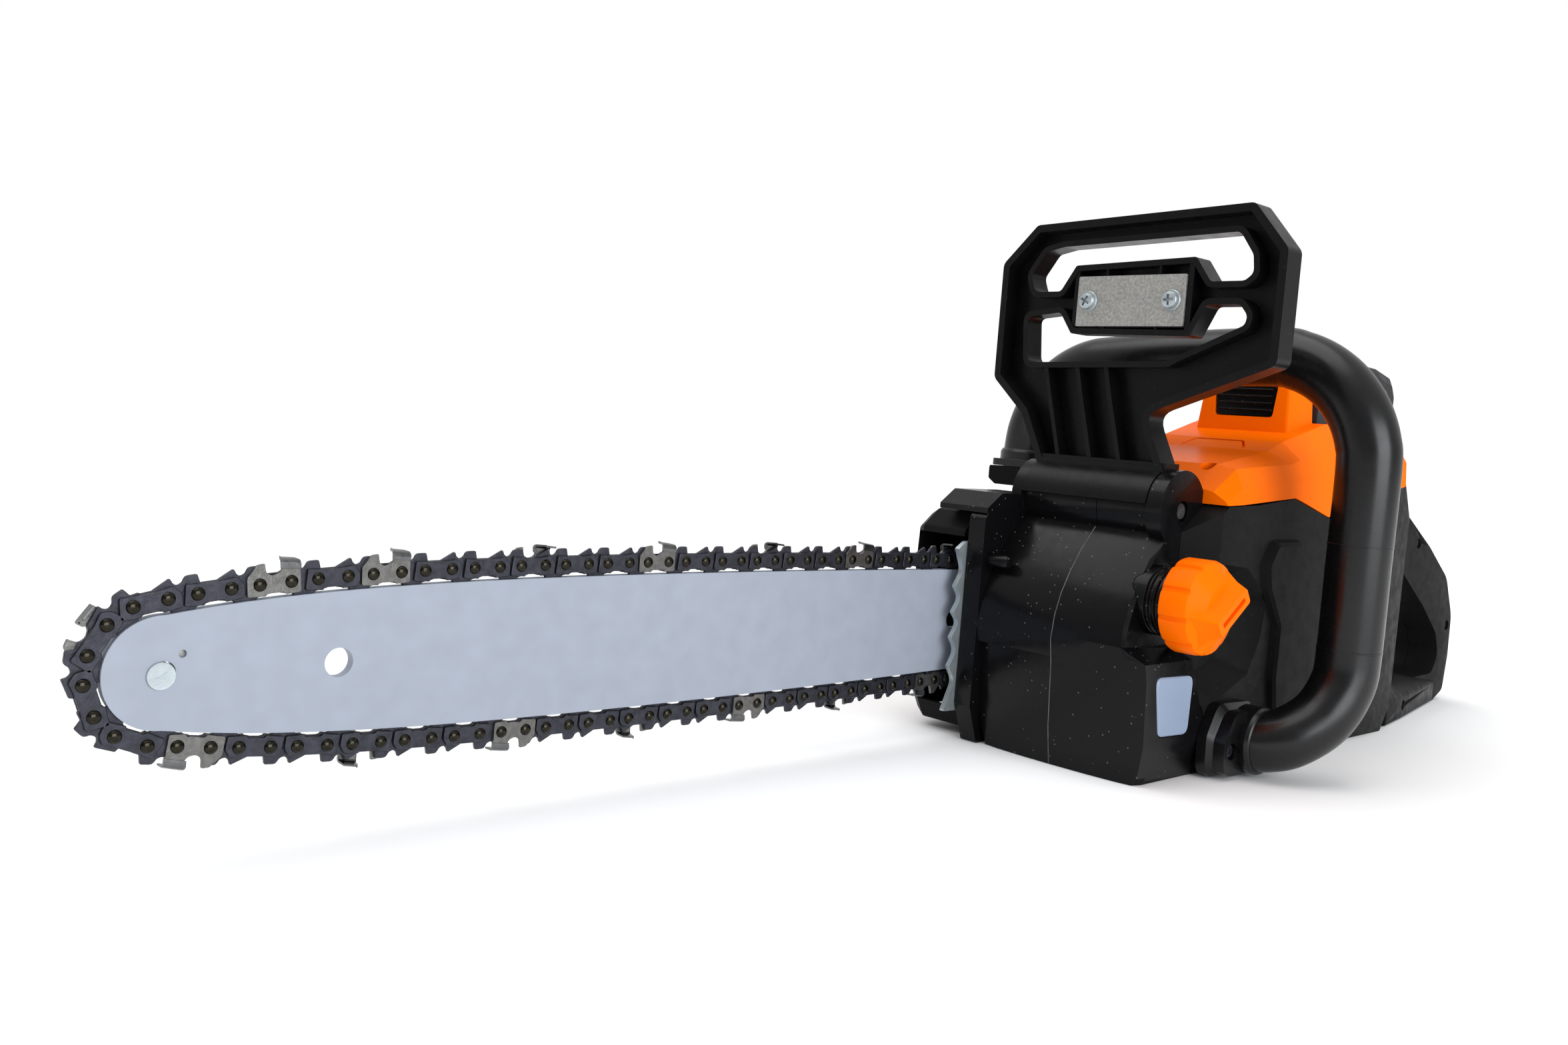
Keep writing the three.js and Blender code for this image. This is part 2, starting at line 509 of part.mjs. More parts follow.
function buildRearHandle() {
  const group = assembly("rear_handle");
  const grip = [
    [176, 114], [192, 117], [220, 111], [252, 93.5], [272, 77], [262, 66], [205, 98.5], [176, 98.5],
  ];
  const heel = [
    [REAR_X + GAP, -38], [200, -34], [284, -20], [284, 20], [200, 34], [REAR_X + GAP, 38],
  ];
  const body = prism("y", HANDLE_OUTER, -18, 18)
    .add(prism("z", heel, 0, 13))
    .subtract(prism("y", HANDLE_OPENING, -60, 60))
    .subtract(prism("y", grip, -13, 13))
    .subtract(prism("y", [[195, 108], [240, 84], [240, 60], [190, 80]], -8, 8))
    .subtract(prism("y", [[230, 103], [254, 89], [264, 107], [240, 121]], -7, 7));
  add(group, "rear_handle_left", "black", body.intersect(block(100, 400, -100, -GAP / 2, -10, 200)));
  add(group, "rear_handle_right", "black", body.intersect(block(100, 400, GAP / 2, 100, -10, 200)));
  const blade = [[200, 106], [208, 107], [234, 90], [232, 72], [224, 71], [214, 80], [203, 86], [198, 96]];
  const trigger = prism("y", blade, -7, 7)
    .subtract(rod("y", 2.6, 204, 101.5, -20, 20, 14));
  add(group, "trigger", "black", trigger);
  add(group, "trigger_pin", "steel", rod("y", 2.2, 204, 101.5, -12.7, 12.7, 14));
  add(group, "power_switch", "grey", block(238, 252, -9, 9, 80, 86).add(block(241, 248, -4, 4, 85, 88)));
  const lockOff = [[236, 101.5], [254, 91.5], [260, 101.9], [242, 112.1]];
  add(group, "lock_off_button", "orange", prism("y", lockOff, -6, 6));
}

// ---------------------------------------------------------------- front guard
const GUARD_OUTER = [
  [41, 137], [53, 159], [72, 176], [72, 232], [53, 250], [-60, 254], [-77, 234], [-77, 185],
  [-16, 162], [-29, 137],
];
const GUARD_INNER = [
  [35, 139], [48, 162], [68, 179], [68, 230], [51, 246], [-58, 250], [-73, 232], [-73, 188],
  [-11, 164], [-23, 139],
];
const SLOT_UPPER = [
  [55, 226], [47, 237], [37, 239], [-54, 242], [-61, 232], [-62, 224],
  [-58, 221], [-42, 221], [-34, 232], [29, 230], [37, 218], [52, 218],
];
const SLOT_LOWER = [
  [55, 206], [36, 208], [29, 198], [-34, 197], [-41, 211], [-57, 211],
  [-61, 206], [-60, 202], [-28, 188], [-24, 186], [53, 184],
];

// Moves each side of an anticlockwise outline out by a distance.
function widened(outline, distance) {
  const count = outline.length;
  return outline.map(([u, v], i) => {
    const here = new THREE.Vector2(u, v);
    const before = here.clone().sub(new THREE.Vector2(...outline[(i + count - 1) % count])).normalize();
    const after = new THREE.Vector2(...outline[(i + 1) % count]).sub(here).normalize();
    const out = new THREE.Vector2(after.y, -after.x).add(new THREE.Vector2(before.y, -before.x)).normalize();
    const reach = distance / Math.max(0.4, out.dot(new THREE.Vector2(after.y, -after.x)));
    return [u + out.x * reach, v + out.y * reach];
  });
}

function buildGuard() {
  const group = assembly("front_guard");
  const [front, back] = [-70, -58];
  const web = 2.5;
  let guard = prism("x", GUARD_OUTER, front, back)
    .subtract(prism("x", GUARD_INNER, front - 1, back - web))
    .add(prism("x", widened(SLOT_UPPER, 2.5), front, back))
    .add(prism("x", widened(SLOT_LOWER, 2.5), front, back));
  for (const y of [-4, 12, 30]) {
    const middle = [[y, 138], [y + 9, 168], [y + 13, 185]];
    const near = middle.map(([u, v]) => [u + 1.2, v]);
    const far = middle.map(([u, v]) => [u - 1.2, v]).reverse();
    const rib = [...near, ...far];
    guard = guard.add(prism("x", rib, front + 1, back));
  }
  const saddle = ring("y", 19, PIVOT.r + 0.6, PIVOT.x, PIVOT.z, -26.5, 40.5, 28)
    .intersect(block(-85, -44, -30, 45, PIVOT.z + 4, 140));
  guard = guard.add(prism("x", [[-31, 201], [27, 201], [27, 225], [-31, 225]], front + 2, back))
    .add(block(front, back, -29, 41, 135.6, 141))
    .subtract(rod("y", PIVOT.r + 0.6, PIVOT.x, PIVOT.z, -60, 60, 28))
    .add(saddle)
    .subtract(prism("x", SLOT_UPPER, front - 5, back + 5))
    .subtract(prism("x", SLOT_LOWER, front - 5, back + 5));
  const screwY = [20, -24];
  for (const y of screwY) guard = guard.subtract(rod("x", 2.4, y, 213, front - 5, back - 1, 12));
  add(group, "front_guard", "black", guard);
  let plate = block(front + 0.2, front + 1.7, -30.5, 26.5, 201.4, 224.6);
  for (const y of screwY) plate = plate.subtract(rod("x", 2.4, y, 213, front - 5, front + 5, 12));
  add(group, "guard_plate", "steel", plate);
  screwY.forEach((y, i) => {
    add(group, `guard_screw_${i + 1}`, "zinc", screw("x", y, 213, front - 2.6, 1, 8));
  });
  add(group, "guard_pivot_pin", "steel", rod("y", 3.6, PIVOT.x, PIVOT.z, -34, 46, 16));
}

// ---------------------------------------------------------------- chain oil system
function buildOil() {
  const group = assembly("oil_system");
  const outer = [[-92, 8], [-95, 40], [-96, 58], [-92, 76], [-80, 94], [-58, 100], [-58, 8]];
  const inner = outer.map(([x, z]) => [x + (x < -70 ? 2 : -2), z + (z < 50 ? 2 : -2)]);
  const tank = prism("y", outer, -31, 36).subtract(prism("y", inner, -29, 34))
    .subtract(rod("y", 11.4, CAP.x, CAP.z, -40, -20, 24));
  add(group, "oil_tank", "window", tank);
  const neck = ring("y", 15, 11.6, CAP.x, CAP.z, -52, -31.4, 28);
  add(group, "oil_neck", "gloss", neck);
  const flutes = gearOutline(CAP.x, CAP.z, 10, CAP.r, 0, 1.3, 18, 0.48);
  const cap = prism("y", flutes, -63, -48).subtract(rod("y", 15.5, CAP.x, CAP.z, -53, -40, 28));
  const grip = prism("x", [[-73, -4], [-73, 4], [-62, 8], [-62, -8]], -13, 13)
    .rotate([0, -35, 0]).translate([CAP.x, 0, CAP.z]);
  add(group, "oil_cap", "orange", cap.add(grip));
  add(group, "cap_seal", "rubber", ring("y", 14.8, 11.8, CAP.x, CAP.z, -52.9, -52.3, 24));
  const window = [[-92.4, 48.5], [-61.5, 47.5], [-62.4, 20.6], [-86.7, 21.5]];
  add(group, "oil_window", "window", prism("y", window, -HALF_BODY - 0.2, -HALF_BODY + WALL - 0.4));
}

// ---------------------------------------------------------------- electrics
function buildElectrics() {
  const group = assembly("electrics");
  let sink = block(104, 156, -34, 34, 17.4, 21);
  for (let y = -32; y <= 32; y += 8) sink = sink.add(block(106, 154, y - 1, y + 1, 20, 32));
  add(group, "heat_sink", "alloy", sink);
  const board = block(92, 156, -34, 34, 15, 17)
    .add(rod("z", 5, 98, -14, 16, 34, 16))
    .add(rod("z", 5, 98, 6, 16, 34, 16));
  add(group, "control_board", "board", board);
}

buildBar();
buildDrive();
buildMotor();
buildDriveHousing();
buildCasing();
buildCover();
buildBattery();
buildSprocketCover();
buildBumper();
buildFrontHandle();
buildRearHandle();
buildGuard();
buildOil();
buildElectrics();

export default saw;
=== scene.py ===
"""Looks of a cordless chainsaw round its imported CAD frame.

Outlines and places are in millimetres, and become metres when a mesh is made.
"""
import math

import bmesh
import bpy
from mathutils import Matrix, Vector


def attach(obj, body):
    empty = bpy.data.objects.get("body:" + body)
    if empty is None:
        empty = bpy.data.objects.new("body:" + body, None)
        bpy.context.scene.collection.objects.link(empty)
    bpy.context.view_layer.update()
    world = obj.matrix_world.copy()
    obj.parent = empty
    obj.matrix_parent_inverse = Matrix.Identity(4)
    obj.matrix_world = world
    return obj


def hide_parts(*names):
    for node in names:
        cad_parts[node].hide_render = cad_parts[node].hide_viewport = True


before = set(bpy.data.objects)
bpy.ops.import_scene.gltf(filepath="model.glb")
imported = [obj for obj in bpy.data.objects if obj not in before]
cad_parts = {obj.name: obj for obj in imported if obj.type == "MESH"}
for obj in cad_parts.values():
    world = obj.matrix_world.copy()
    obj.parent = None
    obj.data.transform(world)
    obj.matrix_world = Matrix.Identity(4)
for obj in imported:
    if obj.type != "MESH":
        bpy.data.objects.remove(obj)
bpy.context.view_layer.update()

MM = 0.001
BAR_Y = 63.3  # middle of the bar's thickness
NOSE = Vector((-467.0, 57.0))  # x and z of the bar nose axis
DRIVE = Vector((0.0, 57.0))  # x and z of the drive sprocket axis
NOSE_R = 22.45  # rivet circle round the nose
SPROCKET_R = 19.0  # rivet circle round the drive sprocket
BAR_INSET = 4.7  # from the rivets' path in to the bar's edge
PIVOT = (-62.0, 119.5)  # x and z of the hand guard's hinge
CAP = (-77.0, 80.0)  # x and z of the oil cap's axis
KNOB = (-70.0, 57.0)  # x and z of the clamp knob's axis
CASE_SIDE = 48  # from the parting line out to each side of the casing
SEAM = 0.2  # half the gap between two moulded halves


# ---------------------------------------- outlines
def circle(u, v, r, sides):
    turns = [2 * math.pi * i / sides for i in range(sides)]
    return [(u + r * math.cos(t), v + r * math.sin(t)) for t in turns]


def arc(u, v, r, first, last, steps):
    turns = [math.radians(first + (last - first) * i / steps) for i in range(steps + 1)]
    return [(u + r * math.cos(t), v + r * math.sin(t)) for t in turns]


def rounded(outline, radius, steps=4):
    """The outline with each corner rounded. A point's third number is its own radius."""
    points = []
    for i, corner in enumerate(outline):
        here = Vector(corner[:2])
        before = Vector(outline[i - 1][:2]) - here
        after = Vector(outline[(i + 1) % len(outline)][:2]) - here
        r = corner[2] if len(corner) > 2 else radius
        reach = min(r / math.tan(before.angle(after) / 2), before.length * 0.47, after.length * 0.47)
        if reach < 0.05:
            points.append(tuple(here))
            continue
        start = here + before.normalized() * reach
        end = here + after.normalized() * reach
        for step in range(steps + 1):
            t = step / steps
            points.append(tuple(start.lerp(here, t).lerp(here.lerp(end, t), t)))
    return points


def area_of(outline):
    pairs = zip(outline, outline[1:] + outline[:1])
    return sum(a[0] * b[1] - b[0] * a[1] for a, b in pairs) / 2


def offset(outline, distance):
    """Moves each side of an outline out by a distance. A corner's own radius grows or shrinks with it."""
    side = 1 if area_of(outline) > 0 else -1
    points = []
    for i, corner in enumerate(outline):
        here = Vector(corner[:2])
        back = (here - Vector(outline[i - 1][:2])).normalized()
        on = (Vector(outline[(i + 1) % len(outline)][:2]) - here).normalized()
        out_back = Vector((back.y, -back.x)) * side
        out_on = Vector((on.y, -on.x)) * side
        middle = (out_back + out_on).normalized()
        spot = here + middle * distance / max(0.4, middle.dot(out_on))
        turn_out = 1 if back.cross(on) * side > 0 else -1
        points.append((spot.x, spot.y, *[max(0.4, r + turn_out * distance) for r in corner[2:]]))
    return points


# ---------------------------------------- meshes
PLACES = {
    "x": lambda u, v, w: (w, u, v),
    "y": lambda u, v, w: (u, w, v),
    "z": lambda u, v, w: (u, v, w),
}


def body_of(vertices, faces):
    """A mesh object from points in millimetres, with its faces turned outwards."""
    mesh = bpy.data.meshes.new("draft")
    mesh.from_pydata([Vector(v) * MM for v in vertices], [], faces)
    made = bpy.data.objects.new("draft", mesh)
    bpy.context.scene.collection.objects.link(made)
    edit = bmesh.new()
    edit.from_mesh(mesh)
    bmesh.ops.remove_doubles(edit, verts=edit.verts, dist=1e-6)
    bmesh.ops.recalc_face_normals(edit, faces=edit.faces)
    edit.to_mesh(mesh)
    edit.free()
    return made


def loft_parts(sections):
    """Vertices and faces of a closed skin over loops that all have the same number of points."""
    n = len(sections[0])
    vertices = [point for loop in sections for point in loop]
    faces = [list(range(n))[::-1]]
    for row in range(len(sections) - 1):
        low = row * n
        for i in range(n):
            j = (i + 1) % n
            faces.append([low + i, low + j, low + n + j, low + n + i])
    top = (len(sections) - 1) * n
    faces.append([top + i for i in range(n)])
    return vertices, faces


def loft(sections):
    return body_of(*loft_parts(sections))


def stack(axis, layers):
    """A loft along an axis through (outline, height) layers."""
    place = PLACES[axis]
    return loft([[place(p[0], p[1], w) for p in outline] for outline, w in layers])


def prism(axis, outline, low, high):
    return stack(axis, [(outline, low), (outline, high)])


def block(x0, x1, y0, y1, z0, z1):
    return prism("z", [(x0, y0), (x1, y0), (x1, y1), (x0, y1)], z0, z1)


def rod(axis, u, v, r, low, high, sides=40):
    return prism(axis, circle(u, v, r, sides), low, high)


def turned(axis, u, v, profile, sides=40):
    """A lathe piece: profile is (radius, height) from one end to the other."""
    return stack(axis, [(circle(u, v, r, sides), w) for r, w in profile])


def bake(made):
    """Makes an object's modifiers part of its mesh."""
    bpy.context.view_layer.update()
    graph = bpy.context.evaluated_depsgraph_get()
    mesh = bpy.data.meshes.new_from_object(made.evaluated_get(graph))
    made.modifiers.clear()
    made.data = mesh
    return made


def boolean(base, operation, tools):
    for tool in tools:
        step = base.modifiers.new("boolean", "BOOLEAN")
        step.operation = operation
        step.solver = "EXACT"
        step.object = tool
    bake(base)
    for tool in tools:
        bpy.data.objects.remove(tool)
    return base


def cut(base, *tools):
    return boolean(base, "DIFFERENCE", tools)


def join(base, *tools):
    return boolean(base, "UNION", tools)


def keep(base, *tools):
    return boolean(base, "INTERSECT", tools)


def turn(made, matrix):
    made.data.transform(matrix)
    return made


def bevel(made, width, segments=2, angle=30):
    edge = made.modifiers.new("edges", "BEVEL")
    edge.width = width * MM
    edge.segments = segments
    edge.limit_method = "ANGLE"
    edge.angle_limit = math.radians(angle)
    edge.harden_normals = True
    return made


def sweep(points, radius, sides=36, steps=10):
    """A round tube along a smooth curve through the points."""
    knots = [Vector(p) for p in points]
    knots = [knots[0] * 2 - knots[1]] + knots + [knots[-1] * 2 - knots[-2]]
    line = []
    for i in range(1, len(knots) - 2):
        a, b, c, d = knots[i - 1:i + 3]
        for step in range(steps):
            t = step / steps
            line.append(0.5 * (2 * b + (c - a) * t + (2 * a - 5 * b + 4 * c - d) * t * t
                               + (3 * b - a - 3 * c + d) * t ** 3))
    line.append(knots[-2])
    across = Vector((1, 0, 0))
    sections = []
    for i, point in enumerate(line):
        ahead = (line[min(i + 1, len(line) - 1)] - line[max(i - 1, 0)]).normalized()
        across = (across - ahead * across.dot(ahead)).normalized()
        up = ahead.cross(across)
        sections.append([tuple(point + (across * c + up * s) * radius) for c, s in circle(0, 0, 1, sides)])
    return loft(sections)


def piece(made, name, look, body, width=0.6, segments=2, angle=30, stands_for=(), slot=None):
    """Names an object, gives it its finish and soft edges, and lets it ride on a body.

    The slot argument is not used.
    """
    slot = slot or look
    made.name = name
    made.data.name = name
    made.data.materials.clear()
    made.data.materials.append(LOOKS[look])
    made.data.shade_smooth()
    if width:
        bevel(made, width, segments, angle)
    else:
        made.data.set_sharp_from_angle(angle=math.radians(angle))
    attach(made, body)
    if stands_for:
        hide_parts(*stands_for)
    return made


def merged(parts):
    """One mesh object from (vertices, faces) parts."""
    vertices, faces = [], []
    for part_vertices, part_faces in parts:
        start = len(vertices)
        vertices += part_vertices
        faces += [[start + i for i in face] for face in part_faces]
    return body_of(vertices, faces)


# ---------------------------------------- finishes
DUST_COLOUR = (0.35, 0.33, 0.3, 1)
DUST_CELLS = 260.0
GLOSS_PATCH = 6.0
BUMP_HEIGHT = 0.0003


def finish(name, colour, roughness, metallic=0.0, grain=0.1, grain_size=0.7, mottle=0.06, patch=14.0,
           spread=0.08, specks=0.0, level=0.5):
    """A node material with colour drift, fine surface grain, uneven gloss and dust specks."""
    material = bpy.data.materials.new(name)
    material.use_nodes = True
    tree = material.node_tree
    shader = tree.nodes["Principled BSDF"]
    shader.inputs["Metallic"].default_value = metallic
    shader.inputs["Specular IOR Level"].default_value = level
    link = tree.links.new

    def node(kind, **values):
        made = tree.nodes.new(kind)
        for key, value in values.items():
            setattr(made, key, value)
        return made

    where = node("ShaderNodeTexCoord").outputs["Object"]

    def noise(size, detail=3.0):
        made = node("ShaderNodeTexNoise")
        made.inputs["Scale"].default_value = 1000.0 / size
        made.inputs["Detail"].default_value = detail
        link(where, made.inputs["Vector"])
        return made.outputs["Fac"]

    def mapped(source, low, high, start=0.3, end=0.7):
        made = node("ShaderNodeMapRange")
        for key, value in zip(("From Min", "From Max", "To Min", "To Max"), (start, end, low, high)):
            made.inputs[key].default_value = value
        link(source, made.inputs["Value"])
        return made.outputs["Result"]

    def mix(factor, first, second):
        made = node("ShaderNodeMix", data_type="RGBA")
        link(factor, made.inputs["Factor"])
        for key, value in (("A", first), ("B", second)):
            socket = [s for s in made.inputs if s.name == key and s.type == "RGBA"][0]
            if isinstance(value, tuple):
                socket.default_value = value
            else:
                link(value, socket)
        return [s for s in made.outputs if s.type == "RGBA"][0]

    dark = tuple(c * (1 - mottle) for c in colour) + (1,)
    light = tuple(min(1, c * (1 + mottle)) for c in colour) + (1,)
    shade = mix(mapped(noise(patch), 0, 1), dark, light)
    shade = mix(mapped(noise(grain_size * 2.5), 0, mottle), shade, tuple(c * 0.5 for c in colour) + (1,))
    if specks:
        dust = node("ShaderNodeTexVoronoi")
        dust.inputs["Scale"].default_value = DUST_CELLS
        link(where, dust.inputs["Vector"])
        amount = mapped(dust.outputs["Distance"], specks, 0, 0.03, 0.12)
        shade = mix(amount, shade, DUST_COLOUR)
    link(shade, shader.inputs["Base Color"])
    gloss = mapped(noise(GLOSS_PATCH), max(0.02, roughness - spread), min(1, roughness + spread))
    link(gloss, shader.inputs["Roughness"])
    bump = node("ShaderNodeBump")
    bump.inputs["Strength"].default_value = grain
    bump.inputs["Distance"].default_value = BUMP_HEIGHT
    link(noise(grain_size, 2.0), bump.inputs["Height"])
    link(bump.outputs["Normal"], shader.inputs["Normal"])
    return material


BLACK = (0.0035, 0.0035, 0.004)
LOOKS = {
    "black_plastic": finish(
        "satin_black_plastic", (0.0105, 0.0102, 0.0102), 0.38, grain=0.16, specks=0.05, level=0.025),
    "gloss_black": finish(
        "gloss_black_plastic", BLACK, 0.22, grain=0.08, specks=0.4, level=0.17, spread=0.05),
    "guard_black": finish(
        "guard_black_plastic", BLACK, 0.32, grain=0.12, specks=0.05, level=0.17, spread=0.04),
    "handle_black": finish(
        "handle_black_plastic", BLACK, 0.27, grain=0.05, grain_size=0.5, level=0.38, spread=0.02),
    "orange_plastic": finish(
        "orange_plastic", (1.0, 0.15, 0.0002), 0.3, grain=0.05, mottle=0.02, level=0.03, spread=0.03),
    # Painted highlight: the parting seam is gloss black plastic, drawn light grey to stand for light along
    # its ridge
    "seam_highlight_grey": finish(
        "painted_seam_highlight", (0.11, 0.105, 0.1), 0.5, grain=0.2, mottle=0.4, patch=8.0, level=0.2),
    "grey_plastic": finish("grey_plastic", (0.016, 0.015, 0.018), 0.5, grain=0.3, level=0.3),
    "dark_plastic": finish("dark_plastic", (0.012, 0.012, 0.013), 0.55, grain=0.3, level=0.3),
    "bar_paint": finish(
        "bar_paint", (0.300, 0.330, 0.392), 0.5, grain=0.08, grain_size=0.9, mottle=0.04, patch=9),
    "zinc": finish(
        "zinc_plate", (0.42, 0.47, 0.49), 0.36, metallic=0.7, grain=0.14, mottle=0.05, patch=3,
        spread=0.04),
    "raw_steel": finish(
        "raw_steel", (0.38, 0.374, 0.355), 0.46, metallic=0.75, grain=0.8, grain_size=0.8, mottle=0.22,
        patch=1.2, spread=0.14),
    "steel": finish("steel", (0.30, 0.30, 0.30), 0.36, metallic=1.0, grain=0.2, mottle=0.12, patch=3),
    "chain_steel": finish(
        "chain_blued_steel", (0.042, 0.043, 0.055), 0.38, metallic=0.7, grain=0.25, mottle=0.3, patch=2.5),
    "cutter_steel": finish(
        "cutter_steel", (0.16, 0.157, 0.15), 0.36, metallic=0.9, grain=0.3, mottle=0.2, patch=2),
    "chrome": finish(
        "cutter_chrome", (0.15, 0.15, 0.153), 0.26, metallic=1.0, grain=0.1, mottle=0.12, patch=2),
    "rivet_steel": finish(
        "rivet_bronzed_steel", (0.03, 0.027, 0.02), 0.2, metallic=0.95, grain=0.1, mottle=0.2, patch=1.5),
    "copper": finish("copper_windings", (0.5, 0.2, 0.08), 0.4, metallic=0.9, grain=0.3),
    "alloy": finish("cast_alloy", (0.5, 0.51, 0.52), 0.45, metallic=0.9, grain=0.5, grain_size=1.2),
    "tank_plastic": finish("tank_plastic", (0.55, 0.6, 0.66), 0.4, grain=0.1),
    "seal_rubber": finish("seal_rubber", (0.012, 0.012, 0.012), 0.8, grain=0.2),
    "window_plastic": finish(
        "window_plastic", (0.25, 0.315, 0.43), 0.32, grain=0.02, mottle=0.05, patch=30, spread=0.02),
    "board_green": finish("board_green", (0.01, 0.1, 0.03), 0.5, grain=0.1),
}


# ---------------------------------------- camera, floor and lights
CAMERA_PLACE = Vector((-0.61205, -0.36149, 0.14712))
CAMERA_RIGHT = Vector((0.73141866, -0.67781005, 0.07483505))
CAMERA_DOWN = Vector((0.00380725, -0.10567969, -0.99439293))
CAMERA_AHEAD = Vector((0.68191807, 0.72760246, -0.07471551))


def make_camera():
    """The photo's camera, as fitted to the chain's pitch."""
    data = bpy.data.cameras.new("camera")
    data.lens = 31.447
    data.sensor_width = 36.0
    data.clip_start = 0.02
    data.clip_end = 60.0
    camera = bpy.data.objects.new("camera", data)
    bpy.context.scene.collection.objects.link(camera)
    matrix = Matrix((CAMERA_RIGHT, -CAMERA_DOWN, -CAMERA_AHEAD)).transposed().to_4x4()
    matrix.translation = CAMERA_PLACE
    camera.matrix_world = matrix
    bpy.context.scene.camera = camera


FLOOR_R = 12000
FLOOR_WHITE = (0.93, 0.93, 0.93, 1)


def make_floor():
    floor = rod("z", 0, 0, FLOOR_R, -6, -0.2, 64)
    floor.name = "floor"
    material = bpy.data.materials.new("floor_white")
    material.use_nodes = True
    shader = material.node_tree.nodes["Principled BSDF"]
    shader.inputs["Base Color"].default_value = FLOOR_WHITE
    shader.inputs["Roughness"].default_value = 0.9
    shader.inputs["Specular IOR Level"].default_value = 0.0
    floor.data.materials.append(material)


LAMP_COLOUR = (0.93, 0.96, 1.0)
TENT_BRIGHT_WAY = (0.35, 0.38, 0.86)


def area_light(name, place, target, size, power):
    data = bpy.data.lights.new(name, "AREA")
    data.shape = "RECTANGLE"
    data.size, data.size_y = size
    data.energy = power
    data.color = LAMP_COLOUR
    lamp = bpy.data.objects.new(name, data)
    bpy.context.scene.collection.objects.link(lamp)
    lamp.location = place
    lamp.rotation_euler = (Vector(place) - Vector(target)).to_track_quat("Z", "Y").to_euler()


def make_world():
    """A pale backdrop, and for the saw a tent of light, bright above and behind and dim in front."""
    world = bpy.data.worlds.new("studio")
    bpy.context.scene.world = world
    world.use_nodes = True
    tree = world.node_tree
    link = tree.links.new
    backdrop = tree.nodes["Background"]
    backdrop.inputs["Color"].default_value = (1, 1, 1, 1)
    backdrop.inputs["Strength"].default_value = 1.0
    tent = tree.nodes.new("ShaderNodeBackground")
    where = tree.nodes.new("ShaderNodeTexCoord")
    facing = tree.nodes.new("ShaderNodeVectorMath")
    facing.operation = "DOT_PRODUCT"
    facing.inputs[1].default_value = TENT_BRIGHT_WAY
    link(where.outputs["Generated"], facing.inputs[0])
    level = tree.nodes.new("ShaderNodeMapRange")
    level.interpolation_type = "SMOOTHSTEP"
    for key, value in (("From Min", -0.5), ("From Max", 0.9), ("To Min", 0.30), ("To Max", 1.0)):
        level.inputs[key].default_value = value
    link(facing.outputs["Value"], level.inputs["Value"])
    link(level.outputs["Result"], tent.inputs["Strength"])
    path = tree.nodes.new("ShaderNodeLightPath")
    mix = tree.nodes.new("ShaderNodeMixShader")
    link(path.outputs["Is Camera Ray"], mix.inputs["Fac"])
    link(tent.outputs["Background"], mix.inputs[1])
    link(backdrop.outputs["Background"], mix.inputs[2])
    link(mix.outputs["Shader"], tree.nodes["World Output"].inputs["Surface"])


def make_lights():
    make_world()
    bpy.context.scene.view_settings.view_transform = "Standard"
    sun = bpy.data.lights.new("overhead", "SUN")
    sun.energy = 1.5
    sun.angle = math.radians(60)
    lamp = bpy.data.objects.new("overhead", sun)
    bpy.context.scene.collection.objects.link(lamp)
    lamp.rotation_euler = (math.radians(-10), math.radians(-14), 0)
    area_light("camera_box", (-0.45, -2.05, 0.65), (0, -0.05, 0.1), (1.7, 1.2), 38)


# ---------------------------------------- chain
PITCH = 19.05  # from one drive link to the next
PLATE_HOLES = 10.2  # between the two rivets of a side plate
FIRST_RIVET = -50.56  # where the first side plate begins along the path
PAIRS = 56  # drive links, each with a pair of side plates
NEAR_CUTTERS = (0, 6, 8, 14, 20, 26, 32, 38, 44, 50)
FAR_CUTTERS = (3, 11, 17, 23, 29, 35, 41, 47, 53)
LINK_HALF = 0.65  # half the thickness of a drive link
PLATE_IN, PLATE_OUT = 0.7, 1.8  # from the bar's middle to a side plate's two faces


def rise(u):
    """Half height of the rivets' path at a distance u behind the nose axis."""
    return NOSE_R + 8.9 * (1 - math.exp(-u / 55)) - 3.57 * (u / 420) ** 3


def chain_path():
    """The rivets' closed path from the tip over the top, and its length up to each point."""
    nose = [NOSE + Vector(p) for p in arc(0, 0, NOSE_R, 180, 90, 40)]
    run = [NOSE + Vector((u, rise(u))) for u in range(2, 441, 2)]
    drive = [DRIVE + Vector(p) for p in arc(0, 0, SPROCKET_R, 75, -75, 30)]
    mirrored = [Vector((p.x, 2 * NOSE.y - p.y)) for p in reversed(nose + run)]
    line = nose + run + drive + mirrored
    lengths = [0.0]
    for a, b in zip(line, line[1:]):
        lengths.append(lengths[-1] + (b - a).length)
    return line, lengths


PATH, LENGTHS = chain_path()


def on_path(s):
    s = (s * LENGTHS[-1] / (PITCH * PAIRS)) % LENGTHS[-1]
    low, high = 0, len(PATH) - 1
    while high - low > 1:
        middle = (low + high) // 2
        if LENGTHS[middle] > s:
            high = middle
        else:
            low = middle
    return PATH[low].lerp(PATH[high], (s - LENGTHS[low]) / (LENGTHS[high] - LENGTHS[low]))


def link_frame(s, span):
    """Turns (along, out, y) beside the rivets at s and s + span into a point of the part."""
    first, last = on_path(s), on_path(s + span)
    along = (last - first).normalized()
    out = Vector((-along.y, along.x))

    def place(a, h, y):
        spot = first + along * a + out * h
        return (spot.x, y, spot.y)

    return place


